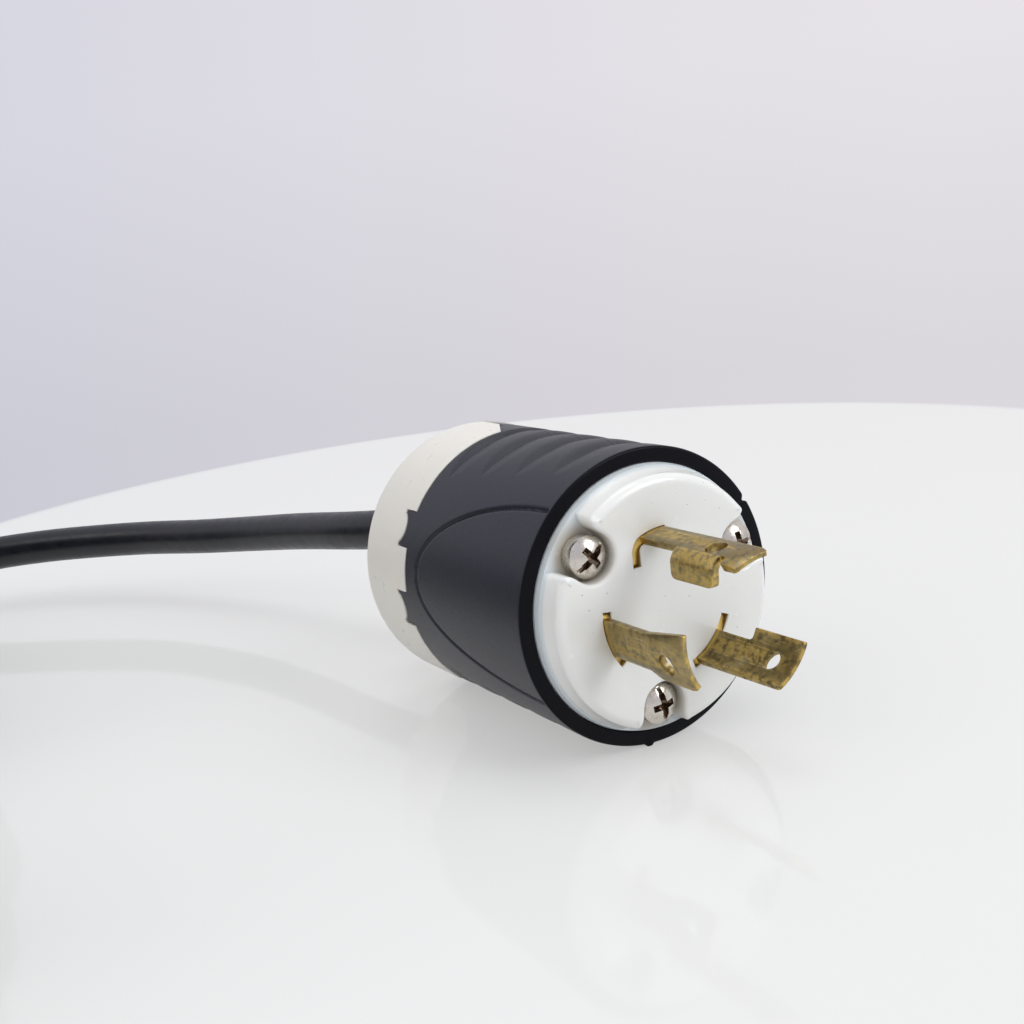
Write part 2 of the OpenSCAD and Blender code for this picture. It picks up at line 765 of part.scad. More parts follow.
// radius: in and out again at a steady rate
function coil_radius(t) =
    let (k = floor(t / layer_turns), s = t - k * layer_turns)
    coil_r - coil_pitch * (k % 2 == 0 ? s : layer_turns - s);

// height: a layer up in the half turn round each reversal
function climb(x) = let (s = min(max(x, 0), 1)) s * s * (3 - 2 * s);
function coil_height(t) =
    let (up = [for (m = [1 : coil_layers - 1]) climb((t - m * layer_turns) * 2 + 0.5)])
    coil_base + coil_pitch * (up * [for (u = up) 1]);

// each of a turn's ends takes ten steps of 18 degrees, and each side two
function side_steps(k) = len([for (m = [6, 7, 18, 19]) if (k >= m) m]);
function coil_point(i) =
    let (k = i % coil_steps, q = side_steps(k), a = 90 + 18 * (k - q), r = coil_radius(i / coil_steps))
    [coil_at[0] + r * cos(a), coil_at[1] + coil_side / 2 * cos(90 * q) + r * sin(a),
     coil_height(i / coil_steps)];

coil_last = round(coil_turns * coil_steps);
coil_body = [for (i = [0 : coil_last]) coil_point(i)];
coil_in = coil_body[0] + [cord_d, 0, 0];

// from the clamp down to the table and round to the coil
run_points = [
    [0, exit_y, axis_h], [0, exit_y + cord_d, axis_h], [-2.5, 77.5, 27.9], [-7, 92, 26.4],
    [-13, 117, 23.9], [-20, 139, 21.5], [-29, 158, 19.9], [-39, 176, 19], [-51, 190, 18.5],
    [-64, 202, 18], [-79, 212, 17.1], [-91, 217.7, 15.4], [-104, 219.6, 12.9],
    [-122, 219.5, 9.4], [-138, 219.5, 7.2], coil_in + [cord_d, 0, 0], coil_in
];

// from the coil's top layer down its left side and round into the connector
tail_lead = 26.5;                    // level part on the coil
tail_fall = 95;                      // length in which it comes down
tail_bend = 60;                      // radius of its turn towards the connector
tail_out = [1, 20];                  // how far it drifts outward at first, and in what length
tail_end_len = 4;                    // straight part before the connector
tail_len = tail_lead + tail_fall;
tail_side = tail_len - tail_bend * conn_turn * PI / 180;
tail_steps = 20;

function tail_plan(s) =
    let (b = max(s - tail_side, 0) / tail_bend * 180 / PI)
    [tail_bend * (1 - cos(b)) - tail_out[0] * min(s / tail_out[1], 1),
     -min(s, tail_side) - tail_bend * sin(b)];
function tail_point(s) =
    let (top = coil_body[coil_last], x = min(max((s - tail_lead) / tail_fall, 0), 1))
    [each ([top[0], top[1]] + tail_plan(s)),
     top[2] + (axis_h - top[2]) * (1 - cos(180 * x)) / 2];

coil_out = tail_point(cord_d);
coil_path = concat([coil_in], coil_body, [coil_out]);
conn_cord = tail_point(tail_len);
conn_at = [conn_cord[0], conn_cord[1]] + tail_end_len * conn_dir;    // where the cord enters it
tail_points = concat(
    [coil_out], [for (i = [3 : tail_steps]) tail_point(tail_len * i / tail_steps)],
    [[each conn_at, axis_h]]
);

module cord_run() { color("#17181b") tube(run_points, cord_r, 10); }
module cord_coil() { color("#17181b") tube(coil_path, cord_r, 6); }
module cord_tail() { color("#17181b") tube(tail_points, cord_r, 10); }

function path_length(p, i = 0) =
    i >= len(p) - 1 ? 0 : norm(p[i + 1] - p[i]) + path_length(p, i + 1);
function clearance(i) = min([for (j = [i + 16 : coil_last]) norm(coil_body[i] - coil_body[j])]);
echo(cord_length = path_length(run_points) + path_length(coil_path) + path_length(tail_points));
echo(coil_least_gap = min([for (i = [0 : coil_last - 16]) clearance(i)]) - cord_d);

// hook-and-loop straps round the bundle, which stands on them
tie_near_a = 315;
tie_far_a = 135;
tie_w = 16;
tie_t = 1.2;
tie_room = 0.5;                      // between a strap and the cord

module rounded(x0, y0, x1, y1, r) {
    for (x = [x0 + r, x1 - r], y = [y0 + r, y1 - r]) translate([x, y]) circle(r = r, $fn = 48);
    translate([x0 + r, y0]) square([x1 - x0 - 2 * r, y1 - y0]);
    translate([x0, y0 + r]) square([x1 - x0, y1 - y0 - 2 * r]);
}

module strap(a) {
    first = (a < 180 ? (a - 90) / 18 : (a - 54) / 18) / coil_steps;
    turns = [for (k = [0 : floor(coil_turns - first)]) coil_radius(first + k)];
    low = sqrt(pow(min(turns), 2) - pow(tie_w / 2, 2)) - cord_r - tie_room;
    high = max(turns) + cord_r + tie_room;
    top = coil_base + (coil_layers - 1) * coil_pitch + cord_r + tie_room + tie_t;
    corner = cord_r + tie_t;
    translate([coil_at[0], coil_at[1] + (a < 180 ? 1 : -1) * coil_side / 2, 0]) rotate(a)
        translate([0, tie_w / 2, 0]) rotate([90, 0, 0]) linear_extrude(tie_w) difference() {
            union() {
                rounded(low - tie_t, 0, high + tie_t, top, corner);
                // the strap's loose end lies on its own outside
                translate([high, corner]) square([2 * tie_t, top * 0.6 - corner]);
            }
            rounded(low, tie_t, high, top - tie_t, cord_r);
        }
}

module coil_tie_near() { color("#2a2a2c") strap(tie_near_a); }
module coil_tie_far() { color("#2a2a2c") strap(tie_far_a); }

body_shell();
face_carrier();
terminal_block();
rear_cap();
ground_blade();
line_blade();
neutral_blade();
assembly_screws();
ground_terminal_screw();
line_terminal_screw();
neutral_terminal_screw();
ground_clamp_plate();
line_clamp_plate();
neutral_clamp_plate();
ground_wire();
line_wire();
neutral_wire();
wire_strands();
cord_seal();
cord_end();
clamp_jaw();
clamp_screw_left();
clamp_screw_right();
cord_run();
cord_coil();
coil_tie_near();
coil_tie_far();
cord_tail();
conn_shell();
conn_face();
conn_block();
conn_rear_cap();
conn_ground_contact();
conn_line_contact();
conn_neutral_contact();
conn_assembly_screws();
conn_terminal_screws();
conn_clamp_plates();
conn_wires();
conn_wire_strands();
conn_cord_seal();
conn_cord_end();
conn_clamp_jaw();
conn_clamp_screw_left();
conn_clamp_screw_right();
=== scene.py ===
"""Looks of a shore power cord: locking plug, coiled cord and matching connector.

Lengths in the mesh code are millimetres in the frame of one cord end: its axis is Z, its front
face lies at z = 0, its cord leaves towards -Z. PLUG and CONN take them to metres in the row frame.
"""
import math

import bmesh
import bpy
from bpy.props import FloatProperty, FloatVectorProperty, IntProperty, PointerProperty
from mathutils import Matrix, Vector
from mathutils.geometry import tessellate_polygon


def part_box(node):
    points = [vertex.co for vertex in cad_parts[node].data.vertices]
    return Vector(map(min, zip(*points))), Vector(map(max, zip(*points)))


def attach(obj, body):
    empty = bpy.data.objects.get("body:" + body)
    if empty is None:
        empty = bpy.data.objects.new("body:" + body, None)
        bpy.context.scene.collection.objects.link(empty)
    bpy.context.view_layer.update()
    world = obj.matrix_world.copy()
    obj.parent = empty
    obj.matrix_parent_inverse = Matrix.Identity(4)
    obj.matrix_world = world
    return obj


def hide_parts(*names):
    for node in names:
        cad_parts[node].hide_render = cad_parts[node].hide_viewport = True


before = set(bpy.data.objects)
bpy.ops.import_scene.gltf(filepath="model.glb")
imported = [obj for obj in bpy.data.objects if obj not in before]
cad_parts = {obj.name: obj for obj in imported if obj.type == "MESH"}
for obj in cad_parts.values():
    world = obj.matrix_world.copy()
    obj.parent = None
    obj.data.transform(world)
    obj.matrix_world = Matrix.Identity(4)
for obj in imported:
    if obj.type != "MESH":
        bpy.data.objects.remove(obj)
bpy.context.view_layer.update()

bl_info = {
    "name": "Shore power cord",
    "version": (1, 0, 0),
    "blender": (4, 5, 0),
    "location": "View3D > Sidebar > Shore Cord",
    "description": "Locking plug, connector and coiled cord of a shore power lead",
    "category": "Add Mesh",
}

MM = 0.001
RIM_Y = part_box("body_shell")[0].y / MM
AXIS_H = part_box("rear_cap")[1].z / MM / 2
EXIT_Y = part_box("rear_cap")[1].y / MM

# the coil: oval turns in layers, and the tail that comes down from it into the connector
COIL_AT, COIL_R, COIL_SIDE, COIL_PITCH, COIL_BASE = (-169.0, 136.5), 66.0, 34.0, 10.6, 6.6
COIL_LAYERS, COIL_STEPS = 6, 24
COIL_TURNS = 19 + 5 / COIL_STEPS
PER_LAYER = COIL_TURNS / COIL_LAYERS
TAIL_LEAD, TAIL_FALL, TAIL_BEND = 26.5, 95.0, 60.0
TAIL_LEN = TAIL_LEAD + TAIL_FALL
TAIL_SIDE = TAIL_LEN - TAIL_BEND * math.pi / 4
DIAG = math.sqrt(0.5)                # the connector faces 45 degrees away from the plug
CONN_LEN = 102.0
CONN_END = Vector((COIL_AT[0] - COIL_R - 1 + TAIL_BEND * (1 - DIAG) + 4 * DIAG,
                   COIL_AT[1] + COIL_SIDE / 2 - TAIL_SIDE - (TAIL_BEND + 4) * DIAG, AXIS_H))

ROW = Matrix.Scale(MM, 4)
PLUG = ROW @ Matrix(((1, 0, 0, 0), (0, 0, -1, RIM_Y), (0, 1, 0, AXIS_H), (0, 0, 0, 1)))
CONN = ROW @ Matrix(((DIAG, 0, DIAG, CONN_END.x + CONN_LEN * DIAG),
                     (DIAG, 0, -DIAG, CONN_END.y - CONN_LEN * DIAG),
                     (0, 1, 0, AXIS_H), (0, 0, 0, 1)))
UPRIGHT = Matrix.Rotation(-math.pi / 2, 4, "X")

# angles round the axis, in degrees from the right, seen from the front
SIDE_A, GRIP_A = 171.5, 81.5
SCREW_A = (142, 22, 262)
LINE_A, NEUTRAL_A = 309, 193
RIGHT_A, BEND_A, TIP_A = 88, 110, 117    # ground blade: right edge, start of the bend, tip's left edge
SEAMS = (84, 264)                        # the mould's parting lines

BODY_R, SEAT_R, BORE_R, LUG_FLOOR = 28.5, 25.55, 24.4, 25.6
SEAT_DEPTH = 6.2
FIT = 0.15
SHELL_LEN, CONN_SHELL_LEN = 45.0, 63.0
CAP_LEN, CAP_ROUND, CLAMP_LEN = 21.0, 4.0, 18.0
CLAMP_X, CLAMP_HALF, CLAMP_TOP, CLAMP_ROUND = 10.5, 15.6, 10.5, 3.0
CORD_HOLE = 5.3
# what reaches back from the seam: short lugs with hollow ends, and long keys with a flared root,
# each as middle, half width and whether it is a key
LUGS = [(SIDE_A + s + m * 17, 7.5, False) for s in (0, 180) for m in (-1, 1)] \
    + [(72, 22.0, True), (252, 22.0, True)]
LUG_LEN, LUG_HOLLOW = 4.0, 3.5
KEY_LEN, KEY_HALF, KEY_ROOT = 16.8, 12.0, 9.0
WAVE_FIRST, WAVE_PITCH, WAVE_SLANT = 8.2, 10.6, 0.09
WAVE_BACK, WAVE_FRONT, WAVE_SPAN, WAVE_WIDER = 3.4, 7.0, 36, 4
PANEL_LEN, LINE_OFF, LINE_HALF, LINE_DEPTH = 40.5, 0.4, 0.62, 0.6

SCREW_CIRCLE, HEAD_R, HEAD_H, SHANK_R = 19.4, 3.9, 2.9, 2.0
POCKET_R, POCKET_FLOOR, DRUM_R = 4.7, 1.0, 25.4
BLADE_R, HOOK_R, HOOK_LEG = 13.8, 2.2, 2.6
BLADE_FOOT, SHOULDER, HOLE_R = -30, -8.2, 1.9


def settings():
    return bpy.context.scene.shore_cord


def mm(value):
    return value / MM


# ---------------------------------------------------------------- mesh helpers

def polar(r, degrees):
    return r * math.cos(math.radians(degrees)), r * math.sin(math.radians(degrees))


def circle(r, steps):
    return [(r * math.cos(2 * math.pi * k / steps), r * math.sin(2 * math.pi * k / steps))
            for k in range(steps)]


def oblong(x, y):
    return [(-x, -y), (x, -y), (x, y), (-x, y)]


def strip(a, b, n):
    """Quads between two closed rows of n points that start at a and at b."""
    return [(a + k, a + (k + 1) % n, b + (k + 1) % n, b + k) for k in range(n)]


def new_mesh(verts, faces):
    mesh = bpy.data.meshes.new("mesh")
    mesh.from_pydata([tuple(v) for v in verts], [], faces)
    mesh.validate()
    return mesh


def tidy(mesh, merge=0.002):
    bm = bmesh.new()
    bm.from_mesh(mesh)
    bmesh.ops.remove_doubles(bm, verts=bm.verts, dist=merge)
    bmesh.ops.dissolve_degenerate(bm, edges=bm.edges, dist=merge / 2)
    bmesh.ops.delete(bm, geom=[v for v in bm.verts if not v.link_faces], context="VERTS")
    bmesh.ops.recalc_face_normals(bm, faces=bm.faces)
    bm.to_mesh(mesh)
    bm.free()
    return mesh


def loft(loops, close_rows=False, caps=False):
    """Quads between closed loops of equally many points, each row joined to the next."""
    n, rows = len(loops[0]), len(loops)
    faces = []
    for i in range(rows if close_rows else rows - 1):
        faces += strip(i * n, ((i + 1) % rows) * n, n)
    if caps:
        faces += [tuple(reversed(range(n))), tuple(range((rows - 1) * n, rows * n))]
    return new_mesh([p for loop in loops for p in loop], faces)


def revolve(profile, steps):
    """A profile of (radius, z) points turned round the axis."""
    rows = [[(x, y, z) for x, y in circle(r, steps)] for r, z in profile]
    return tidy(loft(rows, caps=True), 0.0005)


def column(profile, degrees):
    """A profile of (radius, z) points stood up at one angle."""
    c, s = polar(1.0, degrees)
    return [(r * c, r * s, z) for r, z in profile]


def slab(outline, z0, z1, place=Matrix.Identity(4)):
    """A flat outline of (x, y) points pushed from z0 to z1."""
    n = len(outline)
    verts = [place @ Vector((x, y, z)) for z in (z0, z1) for x, y in outline]
    faces = strip(0, n, n) + [tuple(reversed(range(n))), tuple(range(n, 2 * n))]
    return tidy(new_mesh(verts, faces), 0.0002)


def rod(r, z0, z1, place=Matrix.Identity(4), steps=48):
    return slab(circle(r, steps), z0, z1, place)


def holder(mesh):
    obj = bpy.data.objects.new(mesh.name, mesh)
    bpy.context.scene.collection.objects.link(obj)
    return obj


def applied(mesh, kind, **values):
    """The mesh after a modifier."""
    obj = holder(mesh)
    mod = obj.modifiers.new(kind, kind)
    for key, value in values.items():
        setattr(mod, key, value)
    out = bpy.data.meshes.new_from_object(obj.evaluated_get(bpy.context.evaluated_depsgraph_get()))
    bpy.data.objects.remove(obj)
    bpy.data.meshes.remove(mesh)
    return out


def cut(mesh, *cutters):
    """The mesh less the cutters."""
    for cutter in cutters:
        tool = holder(cutter)
        mesh = applied(mesh, "BOOLEAN", operation="DIFFERENCE", solver="EXACT", object=tool)
        bpy.data.objects.remove(tool)
        bpy.data.meshes.remove(cutter)
    return mesh


def bevelled(mesh, width, angle=50, segments=2):
    return applied(mesh, "BEVEL", width=width, segments=segments, limit_method="ANGLE",
                   angle_limit=math.radians(angle), harden_normals=False)


def joined(*meshes):
    bm = bmesh.new()
    for mesh in meshes:
        bm.from_mesh(mesh)
        bpy.data.meshes.remove(mesh)
    out = bpy.data.meshes.new("mesh")
    bm.to_mesh(out)
    bm.free()
    return out


def piece(name, mesh, place, look, node, body="root", sharp=32):
    """One visible piece, in metres in the row frame, riding on its body."""
    mesh.name = name
    mesh.transform(place)
    mesh.materials.clear()
    mesh.materials.append(finish(look))
    for poly in mesh.polygons:
        poly.use_smooth = True
    mesh.set_sharp_from_angle(angle=math.radians(sharp))
    obj = holder(mesh)
    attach(obj, body)
    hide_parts(*([node] if isinstance(node, str) else node))
    return obj


def spin(a, x=0.0, z=0.0):
    return Matrix.Rotation(math.radians(a), 4, "Z") @ Matrix.Translation((x, 0, z))


def smooth_step(x):
    x = min(max(x, 0.0), 1.0)
    return x * x * (3 - 2 * x)


def off_angle(a, b):
    """Signed difference of two angles in degrees."""
    return (a - b + 180) % 360 - 180


# ---------------------------------------------------------------- finishes

class Nodes:
    """A node tree, and short ways to add and join its nodes."""

    def __init__(self, tree):
        self.nodes, self.links = tree.nodes, tree.links

    def put(self, socket, value):
        """Links an output to the socket, or sets its value."""
        if hasattr(value, "links"):
            self.links.new(value, socket)
        else:
            socket.default_value = (*value, 1) if socket.type == "RGBA" else value

    def node(self, kind, *inputs, **values):
        """A node with its first inputs, and by name its properties and other inputs."""
        node = self.nodes.new("ShaderNode" + kind)
        for key, value in values.items():
            if hasattr(node, key):
                setattr(node, key, value)
            else:
                self.put(node.inputs[key.replace("_", " ")], value)
        for socket, value in zip(node.inputs, inputs):
            self.put(socket, value)
        return node

    def ramp(self, source, *stops):
        """Colour or grey stops, each (position, value)."""
        node = self.node("ValToRGB", source)
        elements = node.color_ramp.elements
        while len(elements) < len(stops):
            elements.new(0.5)
        for element, (place, value) in zip(elements, stops):
            element.position = place
            element.color = (*value, 1) if hasattr(value, "__len__") else (value, value, value, 1)
        return node.outputs["Color"]

    def mix(self, factor, a, b):
        node = self.node("Mix", data_type="RGBA", Factor=factor)
        self.put(node.inputs[6], a)
        self.put(node.inputs[7], b)
        return node.outputs[2]

    def math(self, operation, a, b=0.0):
        return self.node("Math", a, b, operation=operation).outputs["Value"]

    def times(self, a, b):
        return self.math("MULTIPLY", a, b)

    def vector(self, operation, *inputs, out="Vector", **values):
        return self.node("VectorMath", *inputs, operation=operation, **values).outputs[out]

    def between(self, value, low, high):
        """0 below low, 1 above high, eased between."""
        return self.node("MapRange", value, interpolation_type="SMOOTHSTEP",
                         From_Min=low, From_Max=high).outputs["Result"]

    def axis(self, name, source):
        return self.node("SeparateXYZ", source).outputs[name]


class Finish(Nodes):
    """A surface material, with noises sized in millimetres."""

    def __init__(self, name, colour, rough, **sockets):
        self.mat = bpy.data.materials.new(name)
        self.mat.use_nodes = True
        super().__init__(self.mat.node_tree)
        self.bsdf = self.nodes["Principled BSDF"]
        for key, value in dict(Base_Color=colour, Roughness=rough, **sockets).items():
            self.put(self.bsdf.inputs[key.replace("_", " ")], value)
        self.coord = self.node("TexCoord").outputs["Object"]
        self.mat.diffuse_color = (*colour, 1)

    def noise(self, size, detail=3.0, rough=0.55, stretch=None):
        """Noise with features of about size millimetres."""
        source = self.coord
        if stretch:
            source = self.node("Mapping", source, Scale=stretch).outputs["Vector"]
        node = self.node("TexNoise", source, Scale=1000.0 / size, Detail=detail, Roughness=rough)
        return node.outputs["Fac"]

    def clouds(self, noise, low, high, span=(0.3, 0.7)):
        """Noise of the given size and detail, as a ramp between two values."""
        return self.ramp(self.noise(*noise), (span[0], low), (span[1], high))

    def spots(self, tint, *layers):
        """Spots over a colour, each layer (noise, where they begin, where full, share, colour)."""
        for noise, low, high, share, colour in layers:
            tint = self.mix(self.times(self.between(self.noise(*noise), low, high), share), tint, colour)
        return tint

    def look(self, colour, rough, *bumps):
        """Joins up the colour, the roughness and the bumps, each (height output, height in mm)."""
        self.put(self.bsdf.inputs["Base Color"], colour)
        if rough:
            self.put(self.bsdf.inputs["Roughness"], rough)
        last = None
        for height, depth in bumps:
            node = self.node("Bump", Strength=1.0, Distance=depth * MM, Height=height)
            if last:
                self.put(node.inputs["Normal"], last)
            last = node.outputs["Normal"]
        if last:
            self.put(self.bsdf.inputs["Normal"], last)
        return self.mat


def scaled(colour, k):
    return tuple(min(c * k, 1.0) for c in colour)


def blended(a, b, k):
    return tuple(p + (q - p) * k for p, q in zip(a, b))


def shell_finish(name, place):
    """Dark moulded nylon: fine grain, faint specks, and a smoother near-black front rim."""
    base = settings().shell_colour
    f = Finish(name, base, 0.5, Specular_IOR_Level=0.5)
    grain = f.noise(0.35, 4.0)
    body = f.spots(f.mix(f.noise(14.0), scaled(base, 0.86), scaled(base, 1.16)),
                   ((0.55, 1.0), 0.74, 0.8, 0.35, scaled(base, 3.2)))
    ahead = place.to_3x3().col[2].normalized()
    along = f.vector("DOT_PRODUCT", f.coord, ahead, out="Value")
    rim = f.between(f.math("SUBTRACT", along, ahead.dot(place.to_translation())), -0.0005, -0.0002)
    f.put(f.bsdf.inputs["Specular IOR Level"], f.ramp(rim, (0.0, 0.5), (1.0, 0.08)))
    return f.look(f.mix(rim, body, blended(base, (0.004, 0.004, 0.005), 0.86)),
                  f.mix(rim, f.ramp(grain, (0.3, 0.38), (0.75, 0.5)), (0.3, 0.3, 0.3)),
                  (grain, 0.035), (f.noise(2.2, 2.0), 0.02))


def cap_finish():
    """Ivory nylon with a waxy gloss, a little yellowed and rubbed."""
    base = settings().cap_colour
    f = Finish("ivory_nylon", base, 0.34, Subsurface_Weight=0.25, Subsurface_Scale=0.002,
               Subsurface_Radius=(1.0, 0.75, 0.5), Specular_IOR_Level=0.5)
    tint = f.mix(f.noise(16.0), scaled(base, 0.97), blended(base, (0.82, 0.72, 0.50), 0.22))
    return f.look(f.spots(tint, ((1.6, 5.0, 0.7, (1, 6, 1)), 0.62, 0.75, 0.1, scaled(base, 0.7))),
                  f.clouds((3.0, 4.0), 0.26, 0.44, (0.3, 0.75)),
                  (f.noise(0.5, 2.0), 0.008), (f.noise(6.0, 2.0), 0.03))


def face_finish():
    """Translucent glossy white nylon, with painted bluish shade on the pocket floors, a rust-brown tint
    round the screws that is partly the painted shadow of the raised heads, and faint dirt.
    """
    base = settings().face_colour
    f = Finish("white_nylon", base, 0.2, Subsurface_Weight=0.35, Subsurface_Scale=0.0025,
               Subsurface_Radius=(1.0, 0.9, 0.8), Specular_IOR_Level=0.55)
    depth = f.math("SUBTRACT", RIM_Y * MM, f.axis("Y", f.coord))
    # Bluish grey over everything lower than about 1.1 mm above the rim, the pocket floors and the drum's
    # edge: painted shade in the recesses below the plateau.
    floor = f.math("SUBTRACT", 1.0, f.between(depth, 0.0011, 0.0019))
    tint = f.mix(f.noise(9.0), scaled(base, 0.955), base)
    tint = f.mix(f.times(floor, 0.75), tint, blended(base, (0.40, 0.52, 0.62), 0.5))
    # Rust-brown round each screw, full within 3.6 mm and gone by 7.2 mm: partly a brown stain, partly the
    # painted shadow of the raised screw head on its pocket.
    glow = 0.0
    for a in SCREW_A:
        x, y = polar(SCREW_CIRCLE * MM, a)
        near = f.vector("DISTANCE", f.coord, (x, (RIM_Y - 1.5) * MM, AXIS_H * MM + y), out="Value")
        here = f.math("SUBTRACT", 1.0, f.between(near, 0.0036, 0.0072))
        glow = f.math("MAXIMUM", glow, here)
    tint = f.mix(f.times(glow, 0.75), tint, (0.42, 0.35, 0.24))
    across, high = f.axis("X", f.coord), f.math("SUBTRACT", f.axis("Z", f.coord), AXIS_H * MM)
    from_axis = f.math("SQRT", f.math("ADD", f.times(across, across), f.times(high, high)))
    slot = f.times(f.between(from_axis, 0.01495, 0.0148), f.between(depth, 0.0056, 0.0053))
    tint = f.mix(f.times(slot, f.between(glow, 0.15, 0.02)), tint, (0.34, 0.21, 0.06))
    return f.look(f.spots(tint, ((2.6, 6.0, 0.68), 0.66, 0.8, 0.16, (0.34, 0.31, 0.26)),
                          ((0.9, 1.0), 0.79, 0.82, 0.55, (0.12, 0.11, 0.1))),
                  f.clouds((4.0, 4.0), 0.13, 0.3, (0.3, 0.75)),
                  (f.noise(5.0, 2.0), 0.035), (f.noise(0.7, 2.0), 0.006))


def connector_face_finish():
    """The connector's face: the same glossy white nylon, with light handling marks."""
    base = settings().face_colour
    f = Finish("white_nylon_front", base, 0.24, Subsurface_Weight=0.3, Subsurface_Scale=0.0025,
               Specular_IOR_Level=0.5)
    tint = f.mix(f.noise(9.0), scaled(base, 0.95), base)
    return f.look(f.spots(tint, ((2.6, 6.0, 0.68), 0.62, 0.8, 0.2, (0.34, 0.31, 0.26))),
                  f.clouds((4.0, 4.0), 0.16, 0.34, (0.3, 0.75)),
                  (f.noise(5.0, 2.0), 0.03), (f.noise(0.7, 2.0), 0.006))


def brass_finish(name, dull):
    """Aged brass: olive patina with brown clouds, drawn scratches, and bright gold edges, partly worn
    brass and partly painted highlight.
    """
    base = blended(settings().brass_colour, (0.06, 0.045, 0.018), dull)
    f = Finish(name, base, 0.34, Metallic=1.0)
    patina = f.ramp(f.noise(4.2, 4.0), (0.3, scaled(base, 0.72)), (0.5, base),
                    (0.72, blended(base, (0.55, 0.45, 0.28), 0.3)))
    patina = f.spots(patina, ((2.6, 5.0, 0.6), 0.58, 0.76, 0.35, (0.11, 0.075, 0.038)),
                     ((0.22, 2.0, 0.5, (1, 0.06, 1)), 0.62, 0.72, 0.35, (0.74, 0.60, 0.30)))
    # Bright gold on the convex edges, broken up by noise: partly worn brass, partly a painted edge
    # highlight. The foot near the face takes the same gold.
    edges = f.ramp(f.node("NewGeometry").outputs["Pointiness"], (0.5, 0.0), (0.56, 1.0))
    edge_wear_and_highlight = f.times(edges, f.between(f.noise(1.2), 0.3, 0.6))
    foot = f.times(f.between(f.axis("Y", f.coord), (RIM_Y - 7.6) * MM, (RIM_Y - 6.0) * MM), 0.85)
    return f.look(f.mix(f.math("MAXIMUM", edge_wear_and_highlight, foot), patina, (0.66, 0.46, 0.13)),
                  f.ramp(f.noise(1.4, 5.0, 0.65), (0.28, 0.24), (0.72, 0.52)),
                  (f.noise(0.25, 2.0, 0.5, (1, 0.08, 1)), 0.012), (f.noise(1.8), 0.012))


def nickel_finish():
    """Nickel-plated steel with brown tarnish down in the recess."""
    f = Finish("plated_steel", (0.74, 0.70, 0.64), 0.22, Metallic=1.0)
    hollow = f.between(f.node("Attribute", attribute_name="recess").outputs["Fac"], 0.08, 0.4)
    plate = f.spots((0.66, 0.62, 0.56), ((1.1, 5.0, 0.65), 0.52, 0.72, 0.5, (0.34, 0.26, 0.18)))
    return f.look(f.mix(f.times(hollow, 0.9), plate, (0.16, 0.105, 0.065)),
                  f.clouds((0.9, 4.0), 0.14, 0.36), (f.noise(0.5), 0.012))


def cord_finish():
    """Black vinyl jacket: a soft sheen, drawn ripple, dust and small scuffs."""
    base = settings().cord_colour
    f = Finish("cord_jacket", base, 0.36, Specular_IOR_Level=0.5)
    return f.look(f.spots(base, ((5.0, 5.0, 0.65), 0.5, 0.75, 0.5, scaled(base, 2.1)),
                          ((0.8,), 0.7, 0.78, 0.4, scaled(base, 4.0))),
                  f.clouds((2.5, 4.0), 0.27, 0.46, (0.3, 0.75)),
                  (f.noise(3.2, 2.0), 0.05), (f.noise(0.3, 2.0), 0.01))


def strap_finish():
    """Black woven hook-and-loop tape."""
    f = Finish("strap_weave", (0.03, 0.03, 0.033), 0.85, Sheen_Weight=0.35, Sheen_Roughness=0.4)
    warp, weft = (f.node("TexWave", f.coord, wave_type="BANDS", bands_direction=way, Scale=scale)
                  for way, scale in (("Z", 420.0), ("DIAGONAL", 330.0)))
    weave = f.times(warp.outputs["Fac"], weft.outputs["Fac"])
    fuzz = f.noise(0.5, 4.0, 0.7)
    tone = f.mix(weave, (0.016, 0.016, 0.018), (0.05, 0.05, 0.055))
    return f.look(f.mix(f.between(fuzz, 0.55, 0.8), tone, (0.09, 0.09, 0.095)), None,
                  (weave, 0.12), (fuzz, 0.08))


def plain_finish(name, base, rough, tone, low, high, gloss=None, bump=None, **sockets):
    """A finish that clouds between two colours, and where asked in its gloss and its grain."""
    f = Finish(name, base, rough, **sockets)
    return f.look(f.clouds(tone, low, high), gloss and f.clouds(*gloss),
                  *([(f.noise(*bump[0]), bump[1])] if bump else []))


def insulation_finish(name, colour):
    return plain_finish(name, colour, 0.42, (4.0, 3.0), scaled(colour, 0.85), scaled(colour, 1.15),
                        ((1.5, 3.0), 0.34, 0.5), Specular_IOR_Level=0.45)


